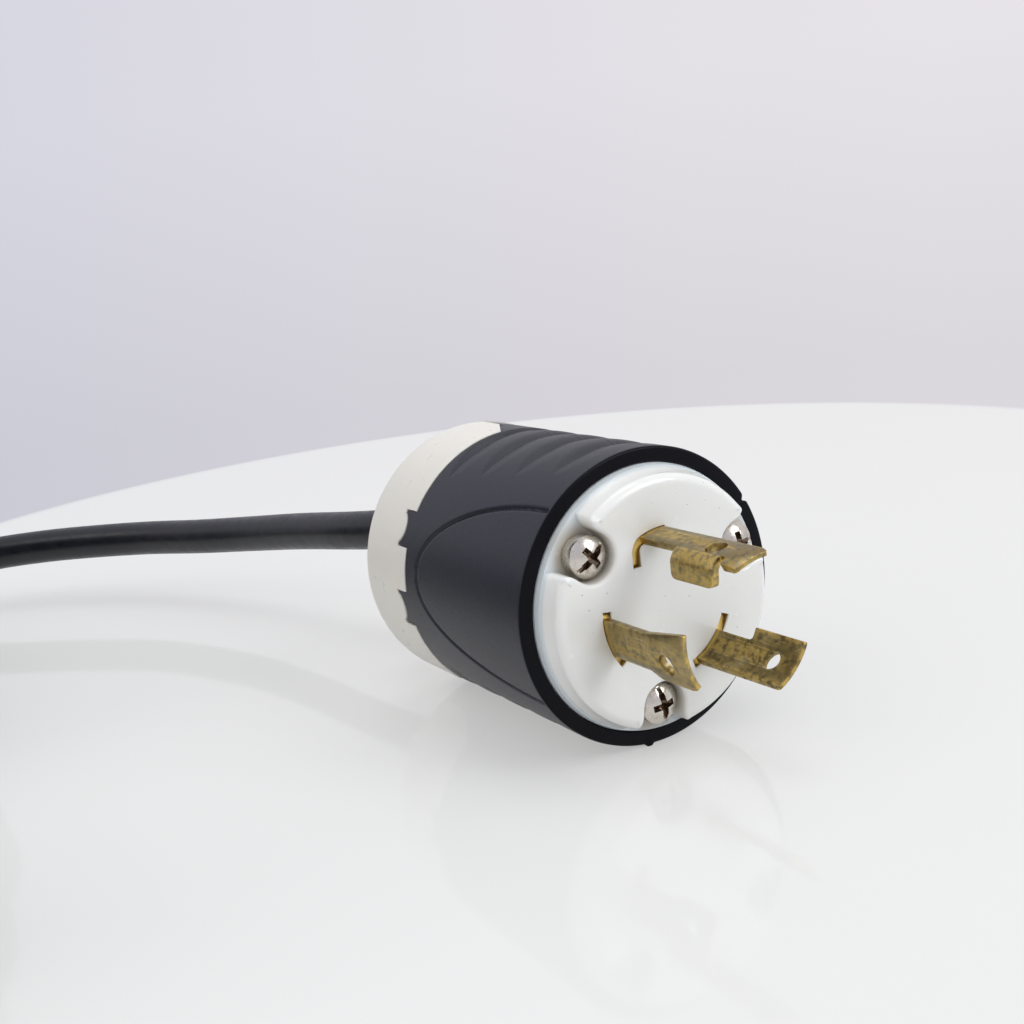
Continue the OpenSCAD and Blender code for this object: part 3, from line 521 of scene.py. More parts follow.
MAKERS = {
    "plug_shell": lambda: shell_finish("shell_nylon", PLUG),
    "conn_shell": lambda: shell_finish("shell_nylon_far", CONN),
    "cap": cap_finish, "face": face_finish, "conn_face": connector_face_finish,
    "brass": lambda: brass_finish("aged_brass", 0.0),
    "dull_brass": lambda: brass_finish("aged_brass_dull", 0.75),
    "nickel": nickel_finish, "cord": cord_finish, "strap": strap_finish,
    "inner": lambda: plain_finish(
        "block_nylon", (0.72, 0.70, 0.64), 0.45, (8.0, 3.0), (0.66, 0.64, 0.58), (0.76, 0.74, 0.68),
        bump=((0.6, 2.0), 0.01), Specular_IOR_Level=0.45),
    "contact": lambda: plain_finish(
        "bright_brass", (0.72, 0.53, 0.24), 0.28, (3.0, 4.0), (0.62, 0.44, 0.18), (0.80, 0.61, 0.30),
        ((1.2, 4.0), 0.2, 0.4), Metallic=1.0),
    "green_screw": lambda: plain_finish(
        "green_screw", (0.06, 0.3, 0.12), 0.3, (1.5, 3.0), (0.04, 0.24, 0.09), (0.10, 0.38, 0.17),
        ((1.0, 3.0), 0.22, 0.4), Metallic=0.7),
    "copper": lambda: plain_finish(
        "copper_strand", (0.72, 0.36, 0.2), 0.3, (0.6, 3.0), (0.55, 0.25, 0.12), (0.82, 0.45, 0.27),
        bump=((0.3, 2.0, 0.5, (1, 0.1, 1)), 0.03), Metallic=1.0),
    "rubber": lambda: plain_finish(
        "seal_rubber", (0.05, 0.05, 0.052), 0.7, (2.0, 4.0), (0.035, 0.035, 0.037),
        (0.07, 0.07, 0.072), bump=((0.4, 3.0), 0.03), Specular_IOR_Level=0.35),
    "green": lambda: insulation_finish("green_insulation", (0.03, 0.28, 0.09)),
    "black": lambda: insulation_finish("black_insulation", (0.02, 0.02, 0.022)),
    "white": lambda: insulation_finish("white_insulation", (0.74, 0.73, 0.7)),
}
FINISHES = {}


def finish(name):
    """Each finish is made once, when its first piece asks for it."""
    if name not in FINISHES:
        FINISHES[name] = MAKERS[name]()
    return FINISHES[name]


# ---------------------------------------------------------------- cord

def coil_radius(t):
    """Radius of a turn's ends after t turns: in and out again, a layer at a time."""
    k = math.floor(t / PER_LAYER)
    done = t - k * PER_LAYER
    return COIL_R - COIL_PITCH * (done if k % 2 == 0 else PER_LAYER - done)


def coil_body():
    """The coil's turns, as the solids have them: oval, in six layers."""
    points = []
    for i in range(round(COIL_TURNS * COIL_STEPS) + 1):
        t, k = i / COIL_STEPS, i % COIL_STEPS
        q = sum(k >= m for m in (6, 7, 18, 19))
        x, y = polar(coil_radius(t), 90 + 18 * (k - q))
        z = COIL_BASE + COIL_PITCH * sum(smooth_step((t - m * PER_LAYER) * 2 + 0.5)
                                         for m in range(1, COIL_LAYERS))
        points.append(Vector((COIL_AT[0] + x,
                              COIL_AT[1] + COIL_SIDE / 2 * math.cos(math.pi / 2 * q) + y, z)))
    return points


def tail_point(top, s):
    """A point of the tail, s millimetres beyond the coil's last one."""
    b = max(s - TAIL_SIDE, 0) / TAIL_BEND
    fall = (1 - math.cos(math.pi * min(max((s - TAIL_LEAD) / TAIL_FALL, 0), 1))) / 2
    return Vector((top.x + TAIL_BEND * (1 - math.cos(b)) - min(s / 20, 1),
                   top.y - min(s, TAIL_SIDE) - TAIL_BEND * math.sin(b),
                   top.z + (AXIS_H - top.z) * fall))


def cord_route():
    """The cord's centreline in millimetres: from the clamp down to the coil, and to the connector."""
    body = coil_body()
    into = body[0] + Vector((10, 0, 0))
    run = [(0, EXIT_Y, AXIS_H), (0, EXIT_Y + 10, AXIS_H), (-2.5, 77.5, 27.9), (-7, 92, 26.4),
           (-13, 117, 23.9), (-20, 139, 21.5), (-29, 158, 19.9), (-39, 176, 19), (-51, 190, 18.5),
           (-64, 202, 18), (-79, 212, 17.1), (-91, 217.7, 15.4), (-104, 219.6, 12.9),
           (-122, 219.5, 9.4), (-138, 219.5, 7.2)]
    tail = [tail_point(body[-1], 10)] + [tail_point(body[-1], TAIL_LEN * i / 20) for i in range(3, 21)]
    return [Vector(p) for p in run] + [into + Vector((10, 0, 0)), into] + body + tail + [CONN_END]


def through(points, steps):
    """A smooth line through the points, its tangents as long as the spans between them."""
    out = []
    last = len(points) - 1
    for i in range(last):
        p0, p1, p2, p3 = (points[min(max(i + k, 0), last)] for k in (-1, 0, 1, 2))
        span = (p2 - p1).length
        m1 = (p2 - p0) * (span / max((p2 - p0).length, 1e-9))
        m2 = (p3 - p1) * (span / max((p3 - p1).length, 1e-9))
        for k in range(steps):
            t = k / steps
            out.append((2 * t ** 3 - 3 * t ** 2 + 1) * p1 + (t ** 3 - 2 * t ** 2 + t) * m1
                       + (3 * t ** 2 - 2 * t ** 3) * p2 + (t ** 3 - t ** 2) * m2)
    return out + [points[last]]


def tube(path, radius, sides):
    """A round tube along the path, without twist, with flat ends."""
    loops = []
    last = len(path) - 1
    side = (path[1] - path[0]).normalized().orthogonal().normalized()
    for i, p in enumerate(path):
        ahead = (path[min(i + 1, last)] - path[max(i - 1, 0)]).normalized()
        side = (side - ahead * side.dot(ahead)).normalized()
        up = ahead.cross(side)
        loops.append([p + radius * (x * side + y * up) for x, y in circle(1.0, sides)])
    return loft(loops, caps=True)


# ---------------------------------------------------------------- shells and caps

def lug_end(angle, length, reach):
    """How far the shell reaches at this angle: a lug with a hollow end, a long key, or the seam."""
    for mid, half, key in LUGS:
        off = off_angle(angle, mid)
        if abs(off) < half and key:
            root = KEY_ROOT * (half - abs(off)) / (half - KEY_HALF)
            return -length - reach - (KEY_LEN if abs(off) < KEY_HALF else root), True
        if abs(off) < half:
            u = BODY_R * math.sin(math.radians(off))
            end = -length - LUG_LEN
            if abs(u) < LUG_HOLLOW:
                hollow = math.sqrt(LUG_HOLLOW ** 2 - u * u)
                end = max(end, -length - 0.55 * LUG_LEN - LUG_HOLLOW + hollow)
            return end - reach, True
    return -length - reach, False


def lug_angles(widen):
    """Columns of the grid, in pairs at each side of a lug."""
    edges = [m + s * (half + widen) for m, half, _ in LUGS for s in (-1, 1)]
    edges += [m + s * (KEY_HALF + widen) for m, _, key in LUGS if key for s in (-1, 1)]
    plain = [a * 0.5 for a in range(720) if all(abs(off_angle(a * 0.5, e)) > 0.08 for e in edges)]
    return sorted(plain + [(e + d) % 360 for e in edges for d in (-0.012, 0.012)])


def wave_depth(angle, z, length):
    """Depth of the grip's scallops: each drops quickly at its back and rises slowly towards the front."""
    deepest = mm(settings().wave_depth)
    depth = 0.0
    for grip in (GRIP_A, GRIP_A + 180):
        off = abs(off_angle(angle, grip))
        for k in range(int((length + 1) / WAVE_PITCH)):
            span = WAVE_SPAN + WAVE_WIDER * k
            if off < span:
                here = min((1 - (off / span) ** 2) * 1.4, 1)
                x = z + WAVE_FIRST + WAVE_PITCH * k + WAVE_SLANT * (span - off)
                side = math.sqrt(here) * (WAVE_BACK if x < 0 else WAVE_FRONT)
                depth = max(depth, deepest * here * max(1 - abs(x) / side, 0) ** 2)
    return depth * smooth_step((z + length) / 2)


def panel_groove(angle, z):
    """Depth of the soft line that draws the side panel's oval."""
    half = mm(settings().shell_radius) * math.sin(settings().panel_arc)
    depth = 0.0
    for mid in (SIDE_A, SIDE_A + 180):
        off = off_angle(angle, mid)
        u = BODY_R * math.sin(math.radians(off))
        q = math.hypot(u / half, z / PANEL_LEN)
        if abs(off) < 60 and z < 0.5 and 0.7 < q < 1.2:
            d = (q - 1) * q / math.hypot(u / half ** 2, z / PANEL_LEN ** 2) + LINE_OFF
            if abs(d) < LINE_HALF:
                depth = max(depth, 0.5 + 0.5 * math.cos(math.pi * d / LINE_HALF))
    return LINE_DEPTH * depth


def shell_mesh(length, row):
    """Moulded shell: waved grips, drawn side panels, lugs at the seam, flat front rim."""
    r = mm(settings().shell_radius)
    rows = int(length / row)
    columns = []
    for a in lug_angles(0):
        end, lug = lug_end(a, length, 0.0)
        notch = 0.75 * smooth_step(1 - abs(off_angle(a, 30)) / 2.2)
        nub = 0.9 * smooth_step(1 - abs(off_angle(a, 264)) / 2.4)
        seam = 0.12 * max(smooth_step(1 - abs(off_angle(a, e)) / 0.55) for e in SEAMS)
        profile = [(r - inset - notch + nub * (z > -0.5), z)
                   for z, inset in ((0.0, 0.55), (-0.08, 0.24), (-0.3, 0.06), (-0.6, 0.0))]
        for k in range(1, rows + 1):
            z = -0.6 - (length - 0.9) * k / rows
            near = notch * smooth_step(1 - (-z - 0.6) / 1.6)
            out = nub * smooth_step(1 - (-z - 0.6) / 1.2)
            profile.append((r - wave_depth(a, z, length) - panel_groove(a, z) - seam - near + out, z))
        profile += [(r, -length + 0.12), (r - (0.0 if lug else 0.12), -length)]
        profile += [(r - (0.12 if k == 6 or not lug else 0.0), -length + (end + length) * k / 6)
                    for k in range(1, 7)]
        profile += [(LUG_FLOOR, end), (LUG_FLOOR, -length), (BORE_R, -length),
                    (BORE_R, -SEAT_DEPTH), (SEAT_R, -SEAT_DEPTH), (SEAT_R, -0.35), (SEAT_R + 0.2, 0.0)]
        columns.append(column(profile, a))
    return tidy(loft(columns, close_rows=True), 0.004)


def cap_mesh(length):
    """Ivory rear cap: rounded rear edge, tongues between the lugs' horns, cord hole."""
    r, back = AXIS_H, -length - CAP_LEN
    floor, seam = LUG_FLOOR - FIT, -length - FIT
    widen = FIT / r * 57.3
    columns = []
    for a in lug_angles(widen):
        front = seam
        for mid, half, _ in LUGS:
            off = off_angle(a, mid)
            if abs(off) < half + widen:
                held = math.copysign(min(abs(off), half - 0.01), off)
                front = lug_end(mid + held, length, FIT)[0]
        first, last = front - 0.5, back + CAP_ROUND
        profile = [(r - 0.14, front), (r, front - 0.14)]
        profile += [(r, first + (last - first) * k / 10) for k in range(11)]
        profile += [(r - CAP_ROUND + x, last - y)
                    for x, y in (polar(CAP_ROUND, t) for t in range(10, 91, 10))]
        profile += [(16.0, back), (9.0, back), (5.7, back), (CORD_HOLE, back + 0.4),
                    (CORD_HOLE, back + 2), (9.15, back + 2), (9.15, back + 6), (22.45, back + 6),
                    (22.45, -length + 4.5), (24.25, -length + 4.5), (24.25, seam), (floor, seam),
                    (floor, front)]
        columns.append(column(profile, a))
    return tidy(loft(columns, close_rows=True), 0.004)


def clamp_outline(inner, sign):
    """Section of a clamp half across the cord, above it (sign 1) or below it (-1), with its groove."""
    groove = [(x, max(y, inner)) for y, x in (polar(CORD_HOLE, t) for t in range(-81, 82, 6))]
    arc = [(CLAMP_HALF - CLAMP_ROUND + x, CLAMP_TOP - CLAMP_ROUND + y)
           for x, y in (polar(CLAMP_ROUND, 90 * k / 8) for k in range(9))]
    points = [(CLAMP_HALF, inner)] + arc + [(-x, y) for x, y in reversed(arc)]
    points += [(-CLAMP_HALF, inner)] + groove
    return points if sign > 0 else [(x, -y) for x, y in reversed(points)]


def clamp_mesh(length, upper):
    """One half of the cord clamp, with its screw holes."""
    back = -length - CAP_LEN
    mesh = slab(clamp_outline(0.8, 1 if upper else -1), back - CLAMP_LEN, back - (0.3 if upper else 0.0))
    tools = []
    for x in (-CLAMP_X, CLAMP_X):
        stand = Matrix.Translation((x, 0, back - CLAMP_LEN / 2)) @ UPRIGHT
        tools.append(rod(2.3 if upper else 2.05, -20, 20, stand))
        if upper:
            tools.append(rod(4.2, CLAMP_TOP - 1, CLAMP_TOP + 4, stand))
    return bevelled(cut(mesh, *tools), 0.35, 55)


# ---------------------------------------------------------------- face

def pocket_side(p):
    """Half width of a screw pocket at p outwards from its screw."""
    if p < 0:
        return math.sqrt(max(POCKET_R ** 2 - p * p, 0))
    return POCKET_R + (0.33 * (p - 2.0) ** 1.75 if p > 2 else 0)


def plateau_loop(radius, spacing=0.25):
    """Top outline of the face's plateau: a circle with three pockets, and its corner radii."""
    reach = 2.0
    while (SCREW_CIRCLE + reach) ** 2 + pocket_side(reach) ** 2 < radius ** 2:
        reach += 0.01
    opening = math.degrees(math.atan2(pocket_side(reach), SCREW_CIRCLE + reach))
    side = [(p, -pocket_side(p)) for p in (reach - k * 0.1 for k in range(int(reach / 0.1) + 1))]
    bowl = [polar(POCKET_R, t) for t in range(-93, -268, -3)]
    edge = side + bowl + [(p, -q) for p, q in reversed(side)]
    raw, order = [], sorted(SCREW_A)
    for i, a in enumerate(order):
        c, s = polar(1.0, a)
        raw += [((SCREW_CIRCLE + p) * c - q * s, (SCREW_CIRCLE + p) * s + q * c, 0.75) for p, q in edge]
        start, stop = a + opening, order[(i + 1) % 3] + (360 if i == 2 else 0) - opening
        steps = int((stop - start) / 0.6)
        raw += [(*polar(radius, start + (stop - start) * k / steps), 1.9) for k in range(1, steps)]
    # even spacing, then soft corners
    points = []
    n = len(raw)
    lengths = [math.dist(raw[k][:2], raw[(k + 1) % n][:2]) for k in range(n)]
    perimeter = sum(lengths)
    count = int(perimeter / spacing)
    k, start = 0, 0.0
    for j in range(count):
        want = perimeter * j / count
        while start + lengths[k] < want:
            start += lengths[k]
            k += 1
        points.append(list(blended(raw[k], raw[(k + 1) % n], (want - start) / max(lengths[k], 1e-9))))
    for _ in range(10):
        points = [[(points[k - 1][m] + 2 * points[k][m] + points[(k + 1) % count][m]) / 4
                   for m in range(3)] for k in range(count)]
    return points


def offset_loop(points, amount):
    """The loop moved inwards by amount(point) along its normals."""
    out = []
    for k, (x, y, w) in enumerate(points):
        (ax, ay, _), (bx, by, _) = points[k - 3], points[(k + 3) % len(points)]
        dx, dy = bx - ax, by - ay
        size = math.hypot(dx, dy)
        d = amount(w)
        out.append((x - dy / size * d, y + dx / size * d))
    return out


def face_mesh():
    """The plug's white face: a seated drum and a plateau with soft edges and three pockets."""
    top = mm(settings().plateau_height)
    loop = plateau_loop(24.0)
    # rows of the plateau's side: height, or share of the corner's radius, and the move inwards
    levels = [(z, lambda w, g=grow: -g * (0.95 * min(max(w - 0.75, 0) / 0.75, 1) + 0.12 * (w < 1)), None)
              for z, grow in ((POCKET_FLOOR, 1.0), (POCKET_FLOOR + 0.25, 0.86), (2.2, 0.45), (3.2, 0.12))]
    for t in range(0, 91, 10):
        c, s = polar(1.0, t)
        levels.append((None, lambda w, c=1 - c: w * c, s))
    levels.append((None, lambda w: w + 0.35, 1.0))
    n = len(loop)
    verts, faces = [], []
    for z, amount, s in levels:
        verts += [(x, y, z if s is None else top - p[2] + p[2] * s)
                  for (x, y), p in zip(offset_loop(loop, amount), loop)]
    for i in range(len(levels) - 1):
        faces += strip(i * n, (i + 1) * n, n)
    faces.append(tuple(range((len(levels) - 1) * n, len(levels) * n)))
    # pocket floors: between the plateau's foot and the drum's edge
    sides, base = 256, len(verts)
    for r, z in ((25.1, POCKET_FLOOR), (25.12, 0.3), (DRUM_R, 0.0), (DRUM_R, -SEAT_DEPTH + 0.1)):
        verts += [(x, y, z) for x, y in circle(r, sides)]
    for i in range(3):
        faces += strip(base + (i + 1) * sides, base + i * sides, sides)
    faces.append(tuple(reversed(range(base + 3 * sides, base + 4 * sides))))
    index = [base + k for k in range(sides)] + list(range(n))
    rims = [[Vector(verts[k]) for k in part] for part in (index[:sides], index[sides:])]
    faces += [tuple(index[k] for k in tri) for tri in tessellate_polygon(rims)]
    mesh = tidy(new_mesh(verts, faces), 0.0005)
    tools = [rod(2.3, -SEAT_DEPTH - 1, 2.5, spin(a, SCREW_CIRCLE)) for a in SCREW_A]
    for mid, left, right in ((LINE_A, 4.65, 6.75), (NEUTRAL_A, 4.75, 6.05)):
        tools.append(arc_slab(12.85, 14.75, mid - math.degrees(math.asin(left / BLADE_R)),
                              mid + math.degrees(math.asin(right / BLADE_R)), -SEAT_DEPTH - 1, top + 1))
    tools.append(hook_slab(FIT, -SEAT_DEPTH - 1, top + 1))
    return bevelled(cut(mesh, *tools), 0.14, 62)


def arc_slab(r0, r1, a0, a1, z0, z1, steps=24):
    angles = [a0 + (a1 - a0) * k / steps for k in range(steps + 1)]
    outline = [polar(r1, a) for a in angles] + [polar(r0, a) for a in reversed(angles)]
    return slab(outline, z0, z1)


def hook_line(grow=0.0):
    """Middle line of the ground blade's section, from its right edge round to the leg's end."""
    first = RIGHT_A - math.degrees(grow / BLADE_R)
    cx, cy = polar(BLADE_R - HOOK_R, BEND_A)
    out = []
    for k in range(17):
        a = first + (BEND_A - first) * k / 16
        out.append((*polar(BLADE_R, a), a))
    for k in range(1, 13):
        a = BEND_A + (180 - BEND_A) * k / 12
        x, y = polar(HOOK_R, a)
        out.append((cx + x, cy + y, a))
    return out + [(cx - HOOK_R, cy - HOOK_LEG - grow, 180)]


def hook_slab(grow, z0, z1):
    outer, inner = [], []
    for x, y, a in hook_line(grow):
        dx, dy = polar(0.8 + grow, a)
        outer.append((x + dx, y + dy))
        inner.append((x - dx, y - dy))
    return slab(outer + inner[::-1], z0, z1)


# ---------------------------------------------------------------- blades

def rounded_outline(points, radii):
    """The outline with each corner rounded by its radius."""
    out = []
    for k, point in enumerate(points):
        p = Vector(point)
        a, b = Vector(points[k - 1]) - p, Vector(points[(k + 1) % len(points)]) - p
        angle = a.angle(b)
        cutback = min(radii.get(k, 0.25) / max(math.tan(angle / 2), 1e-6),
                      0.48 * a.length, 0.48 * b.length)
        if angle > 3.0 or cutback < 0.03:
            out.append(point)
            continue
        p0, p1 = p + a.normalized() * cutback, p + b.normalized() * cutback
        out += [tuple((1 - t) ** 2 * p0 + 2 * t * (1 - t) * p + t * t * p1)
                for t in (0, 0.25, 0.5, 0.75, 1)]
    return out


def flat_blade(outline, holes, across, along):
    """A flat plate with holes, worn edges, and slices for the bend.
    Its X runs across the blade, Y along it and Z through it."""
    t = mm(settings().blade_thickness) / 2
    tools = [rod(r, -3, 3, Matrix.Translation((x, y, 0)), 40) for x, y, r in holes]
    mesh = bevelled(cut(slab(outline, -t, t), *tools), 0.16)
    bm = bmesh.new()
    bm.from_mesh(mesh)
    for at, way in [((x, 0, 0), (1, 0, 0)) for x in across] + [((0, y, 0), (0, 1, 0)) for y in along]:
        bmesh.ops.bisect_plane(bm, geom=bm.verts[:] + bm.edges[:] + bm.faces[:], dist=1e-5,
                               plane_co=at, plane_no=way)
    bm.to_mesh(mesh)
    bm.free()
    return mesh


def taper(t, z, tip):
    """Both faces of a blade slope in over its last millimetre."""
    return t * (1 - 0.5 * min(max((z - (tip - 1.2)) / 1.2, 0), 1))


def line_mesh(middle, outline, tip):
    """Line or neutral blade: its flat outline bent round the blades' circle."""
    mesh = flat_blade(outline, [(1, tip - 5.4, HOLE_R), (0, -24, 2.2)],
                      [k * 0.6 - 7.2 for k in range(25)], [tip - 1.2, tip - 0.6])
    for v in mesh.vertices:
        x, z, t = v.co
        a = math.radians(middle) + math.asin(max(min(x / BLADE_R, 1), -1))
        r = BLADE_R + taper(t, z, tip)
        v.co = (r * math.cos(a), r * math.sin(a), z)
    return mesh


def ground_mesh(tip):
    """Ground blade: an arc plate with a hook leg, slit from the plain tip."""
    slit = 29.08
    bend = math.radians(BEND_A - RIGHT_A) * BLADE_R
    leg = bend + math.radians(180 - BEND_A) * HOOK_R
    end = leg + HOOK_LEG
    wing = math.radians(TIP_A - RIGHT_A) * BLADE_R
    points = [(0, BLADE_FOOT), (bend, BLADE_FOOT), (bend, SHOULDER), (end, SHOULDER), (end, 4.8),
              (bend + 0.1, 5.4), (bend, 16.5), (end, 16.5), (end, 27.4), (leg + 0.4, 27.6),
              (bend, 27.6), (bend, 29.25), (wing, 29.3), (wing, tip), (0, tip)]
    outline = rounded_outline(points, {4: 0.3, 5: 0.1, 6: 0.3, 7: 1.3, 8: 1.6, 9: 0.3,
                                       12: 0.5, 13: 0.6, 14: 0.6})
    holes = [(math.radians(14) * BLADE_R, tip - 8.8, HOLE_R), (bend / 2, -24, HOLE_R)]
    mesh = flat_blade(outline, holes, [k * 0.35 for k in range(1, 31)], [slit, tip - 1.2, tip - 0.6])
    cx, cy = polar(BLADE_R - HOOK_R, BEND_A)
    for v in mesh.vertices:
        s, z, t = v.co
        t = taper(t, z, tip)
        if s <= bend or z > slit:
            a = math.radians(RIGHT_A) + s / BLADE_R
            v.co = ((BLADE_R + t) * math.cos(a), (BLADE_R + t) * math.sin(a), z)
        elif s <= leg:
            a = math.radians(BEND_A) + (s - bend) / HOOK_R
            v.co = (cx + (HOOK_R + t) * math.cos(a), cy + (HOOK_R + t) * math.sin(a), z)
        else:
            v.co = (cx - HOOK_R - t, cy - (s - leg), z)
    return mesh


# ---------------------------------------------------------------- screws

def screw_mesh(shank_len, turn, collar=0.0):
    """Domed head with a combination recess, a cross and one longer slot; a collar lifts the head."""
    dome = (HEAD_R * HEAD_R + HEAD_H * HEAD_H) / (2 * HEAD_H) * 1.35
    edge = HEAD_R * 0.985

    def drop(r):
        return dome - math.sqrt(dome ** 2 - r * r)

    profile = [(SHANK_R - 0.5, -shank_len), (SHANK_R, -shank_len + 0.5), (SHANK_R, 0.0),
               (HEAD_R - 0.15, 0.0), (HEAD_R, 0.15), (HEAD_R, max(HEAD_H - drop(edge) - 0.1, 0.3))]
    for k in range(1, 10):
        r = edge * (1 - k / 9.0)
        profile.append((max(r, 0.02), HEAD_H - drop(r)))
    mesh = revolve([(r, z + collar * (z > 0.2)) for r, z in profile], 56)
    place = spin(turn, 0, collar)
    tools = [slab(oblong(HEAD_R * 0.9, 0.45), HEAD_H * 0.52, HEAD_H + 2, place)]
    arm = oblong(HEAD_R * 0.56, 0.62)
    for quarter in (0, 90):
        verts = [place @ spin(quarter) @ Vector((x * wide, y * thick, z))
                 for wide, thick, z in ((0.45, 0.6, HEAD_H * 0.3), (1, 1, HEAD_H * 0.62),
                                        (1.15, 1.1, HEAD_H + 1))
                 for x, y in arm]
        faces = [(3, 2, 1, 0), (8, 9, 10, 11)] + strip(0, 4, 4) + strip(4, 8, 4)
        tools.append(tidy(new_mesh(verts, faces), 0.0002))
    mesh = bevelled(cut(mesh, *tools), 0.07, 40)
    for v, value in zip(mesh.vertices, mesh.attributes.new("recess", "FLOAT", "POINT").data):
        r = min(math.hypot(v.co.x, v.co.y), edge)
        under = HEAD_H + collar - drop(r) - v.co.z
        value.value = min(max(under, 0), 1) if r < HEAD_R * 0.93 else 0.0
    return mesh


def screw_ring(shank_len, turns, z, collar=0.0):
    """The three assembly screws of one end, as one mesh."""
    heads = []
    for a, turn in zip(SCREW_A, turns):
        heads.append(screw_mesh(shank_len, turn, collar))
        heads[-1].transform(spin(a, SCREW_CIRCLE, z))
    return joined(*heads)


# ---------------------------------------------------------------- straps

def strap_mesh(angle):
    """A woven strap round the coiled bundle, with its loose end pressed on its outside."""
    first = (angle - (90 if angle < 180 else 54)) / 18 / COIL_STEPS
    radii = [coil_radius(first + k) for k in range(int(COIL_TURNS - first) + 1)]
    thick, reach, corner, steps = 1.2, 8.0, 5.6, 10
    clear = 5.5                      # the cord's radius and a gap
    low, high = math.sqrt(min(radii) ** 2 - reach ** 2) - clear, max(radii) + clear
    top = COIL_BASE + (COIL_LAYERS - 1) * COIL_PITCH + clear + thick
    near, far = low - thick / 2 + corner, high + thick / 2 - corner
    foot, head = thick / 2 + corner, top - thick / 2 - corner
    line = []
    for cx, cy, a in ((far, foot, -90), (far, head, 0), (near, head, 90), (near, foot, 180)):
        line += [(cx + x, cy + y)
                 for x, y in (polar(corner, a + 90 * k / steps) for k in range(steps + 1))]
    # straight runs get points of their own
    dense = []
    for k, p in enumerate(line):
        q = line[(k + 1) % len(line)]
        parts = max(int(math.dist(p, q) / 1.5), 1)
        dense += [blended(p, q, j / parts) for j in range(parts)]
    rows = []
    across = [-1.0, -0.96, -0.8, -0.5, -0.2, 0.2, 0.5, 0.8, 0.96, 1.0]
    for k, (x, y) in enumerate(dense):
        (ax, ay), (bx, by) = dense[k - 1], dense[(k + 1) % len(dense)]
        size = math.hypot(bx - ax, by - ay)
        nx, ny = (by - ay) / size, -(bx - ax) / size
        ring = []
        for side in (1, -1):
            for w in across[::side]:
                half = thick / 2 * (0.55 if abs(w) > 0.99 else 1.0) * side
                ring.append((x + nx * half, w * reach, y + ny * half))
        rows.append(ring)
    flap = []
    for k in range(15):
        y = 6.2 + (top * 0.6 - 6.2) * k / 14
        lift = 0.12 + 0.35 * (k / 14) ** 3
        half = reach * (1 if k < 12 else math.sqrt(max(1 - ((k - 11.4) / 3.0) ** 2, 0.12)))
        flap.append([(high + thick + out, w * half, y)
                     for out, w in ((lift * 0.3, -1), (lift + 0.75, -1), (lift + 0.85, -0.5),
                                    (lift + 0.85, 0.5), (lift + 0.75, 1), (lift * 0.3, 1))])
    mesh = joined(loft(rows, close_rows=True), loft(flap, caps=True))
    shift = math.copysign(COIL_SIDE / 2, 180 - angle)
    mesh.transform(Matrix.Translation((COIL_AT[0], COIL_AT[1] + shift, 0)) @ spin(angle))
    return tidy(mesh, 0.0005)


# ---------------------------------------------------------------- settings

def length_setting(name, text, default, low, high):
    return FloatProperty(name=name, description=text, default=default, min=low, max=high,
                         subtype="DISTANCE", unit="LENGTH")


def colour_setting(name, text, default):
    return FloatVectorProperty(name=name, description=text, default=default, size=3, min=0, max=1,
                               subtype="COLOR")


class ShoreCordSettings(bpy.types.PropertyGroup):
    shell_radius: length_setting(
        "Shell radius", "Outside radius of both black shells", 0.0285, 0.026, 0.031)
    wave_depth: length_setting("Grip depth", "Depth of the waves in the grips", 0.0009, 0.0, 0.0015)
    panel_arc: FloatProperty(
        name="Panel half angle", description="Half width of the smooth side panels, round the axis",
        default=math.radians(39), min=0.3, max=0.8, subtype="ANGLE", unit="ROTATION")
    plateau_height: length_setting(
        "Face height", "Height of the white plateau over the rim", 0.0058, 0.004, 0.007)
    blade_thickness: length_setting(
        "Blade thickness", "Thickness of the brass blades", 0.0016, 0.001, 0.002)
    cord_diameter: length_setting("Cord diameter", "Diameter of the jacket", 0.010, 0.008, 0.0105)
    cord_sides: IntProperty(
        name="Cord sides", description="Sides of the cord's tube", default=20, min=8, max=48)
    shell_colour: colour_setting("Shell", "Dark nylon of both shells", (0.0086, 0.0094, 0.0180))
    cap_colour: colour_setting("Rear cap", "Ivory nylon of the caps and clamps", (0.81, 0.79, 0.735))
    face_colour: colour_setting("Face", "White nylon of the faces", (0.85, 0.85, 0.82))
    brass_colour: colour_setting("Blades", "Aged brass of the blades", (0.225, 0.185, 0.1))
    cord_colour: colour_setting("Cord", "Black jacket of the cord", (0.008, 0.0085, 0.0125))
    table_colour: colour_setting("Table", "White turntable under the plug", (0.83, 0.83, 0.82))
    wall_colour: colour_setting(
        "Backdrop", "Pale wall and the floor beyond the turntable", (0.70, 0.70, 0.745))


# ---------------------------------------------------------------- operators

# each end of the cord: what its pieces' names begin with, its nodes' prefix, its shell's length
# and its place
ENDS = (("plug", "", SHELL_LEN, PLUG), ("connector", "conn_", CONN_SHELL_LEN, CONN))


class SHORE_OT_camera(bpy.types.Operator):
    """Set the camera at the viewing angle, in front of the plug and to its left"""
    bl_idname = "shore.camera"
    bl_label = "Camera"

    def execute(self, context):
        data = bpy.data.cameras.new("camera")
        data.lens, data.sensor_width = 46.4209, 36.0
        data.clip_start, data.clip_end = 0.01, 20.0
        camera = bpy.data.objects.new("camera", data)
        camera.location = (-0.13836, -0.21901, 0.09929)
        camera.rotation_euler = [math.radians(a) for a in (77.68823, 6.33553, -31.19215)]
        context.scene.collection.objects.link(camera)
        context.scene.camera = camera
        return {"FINISHED"}


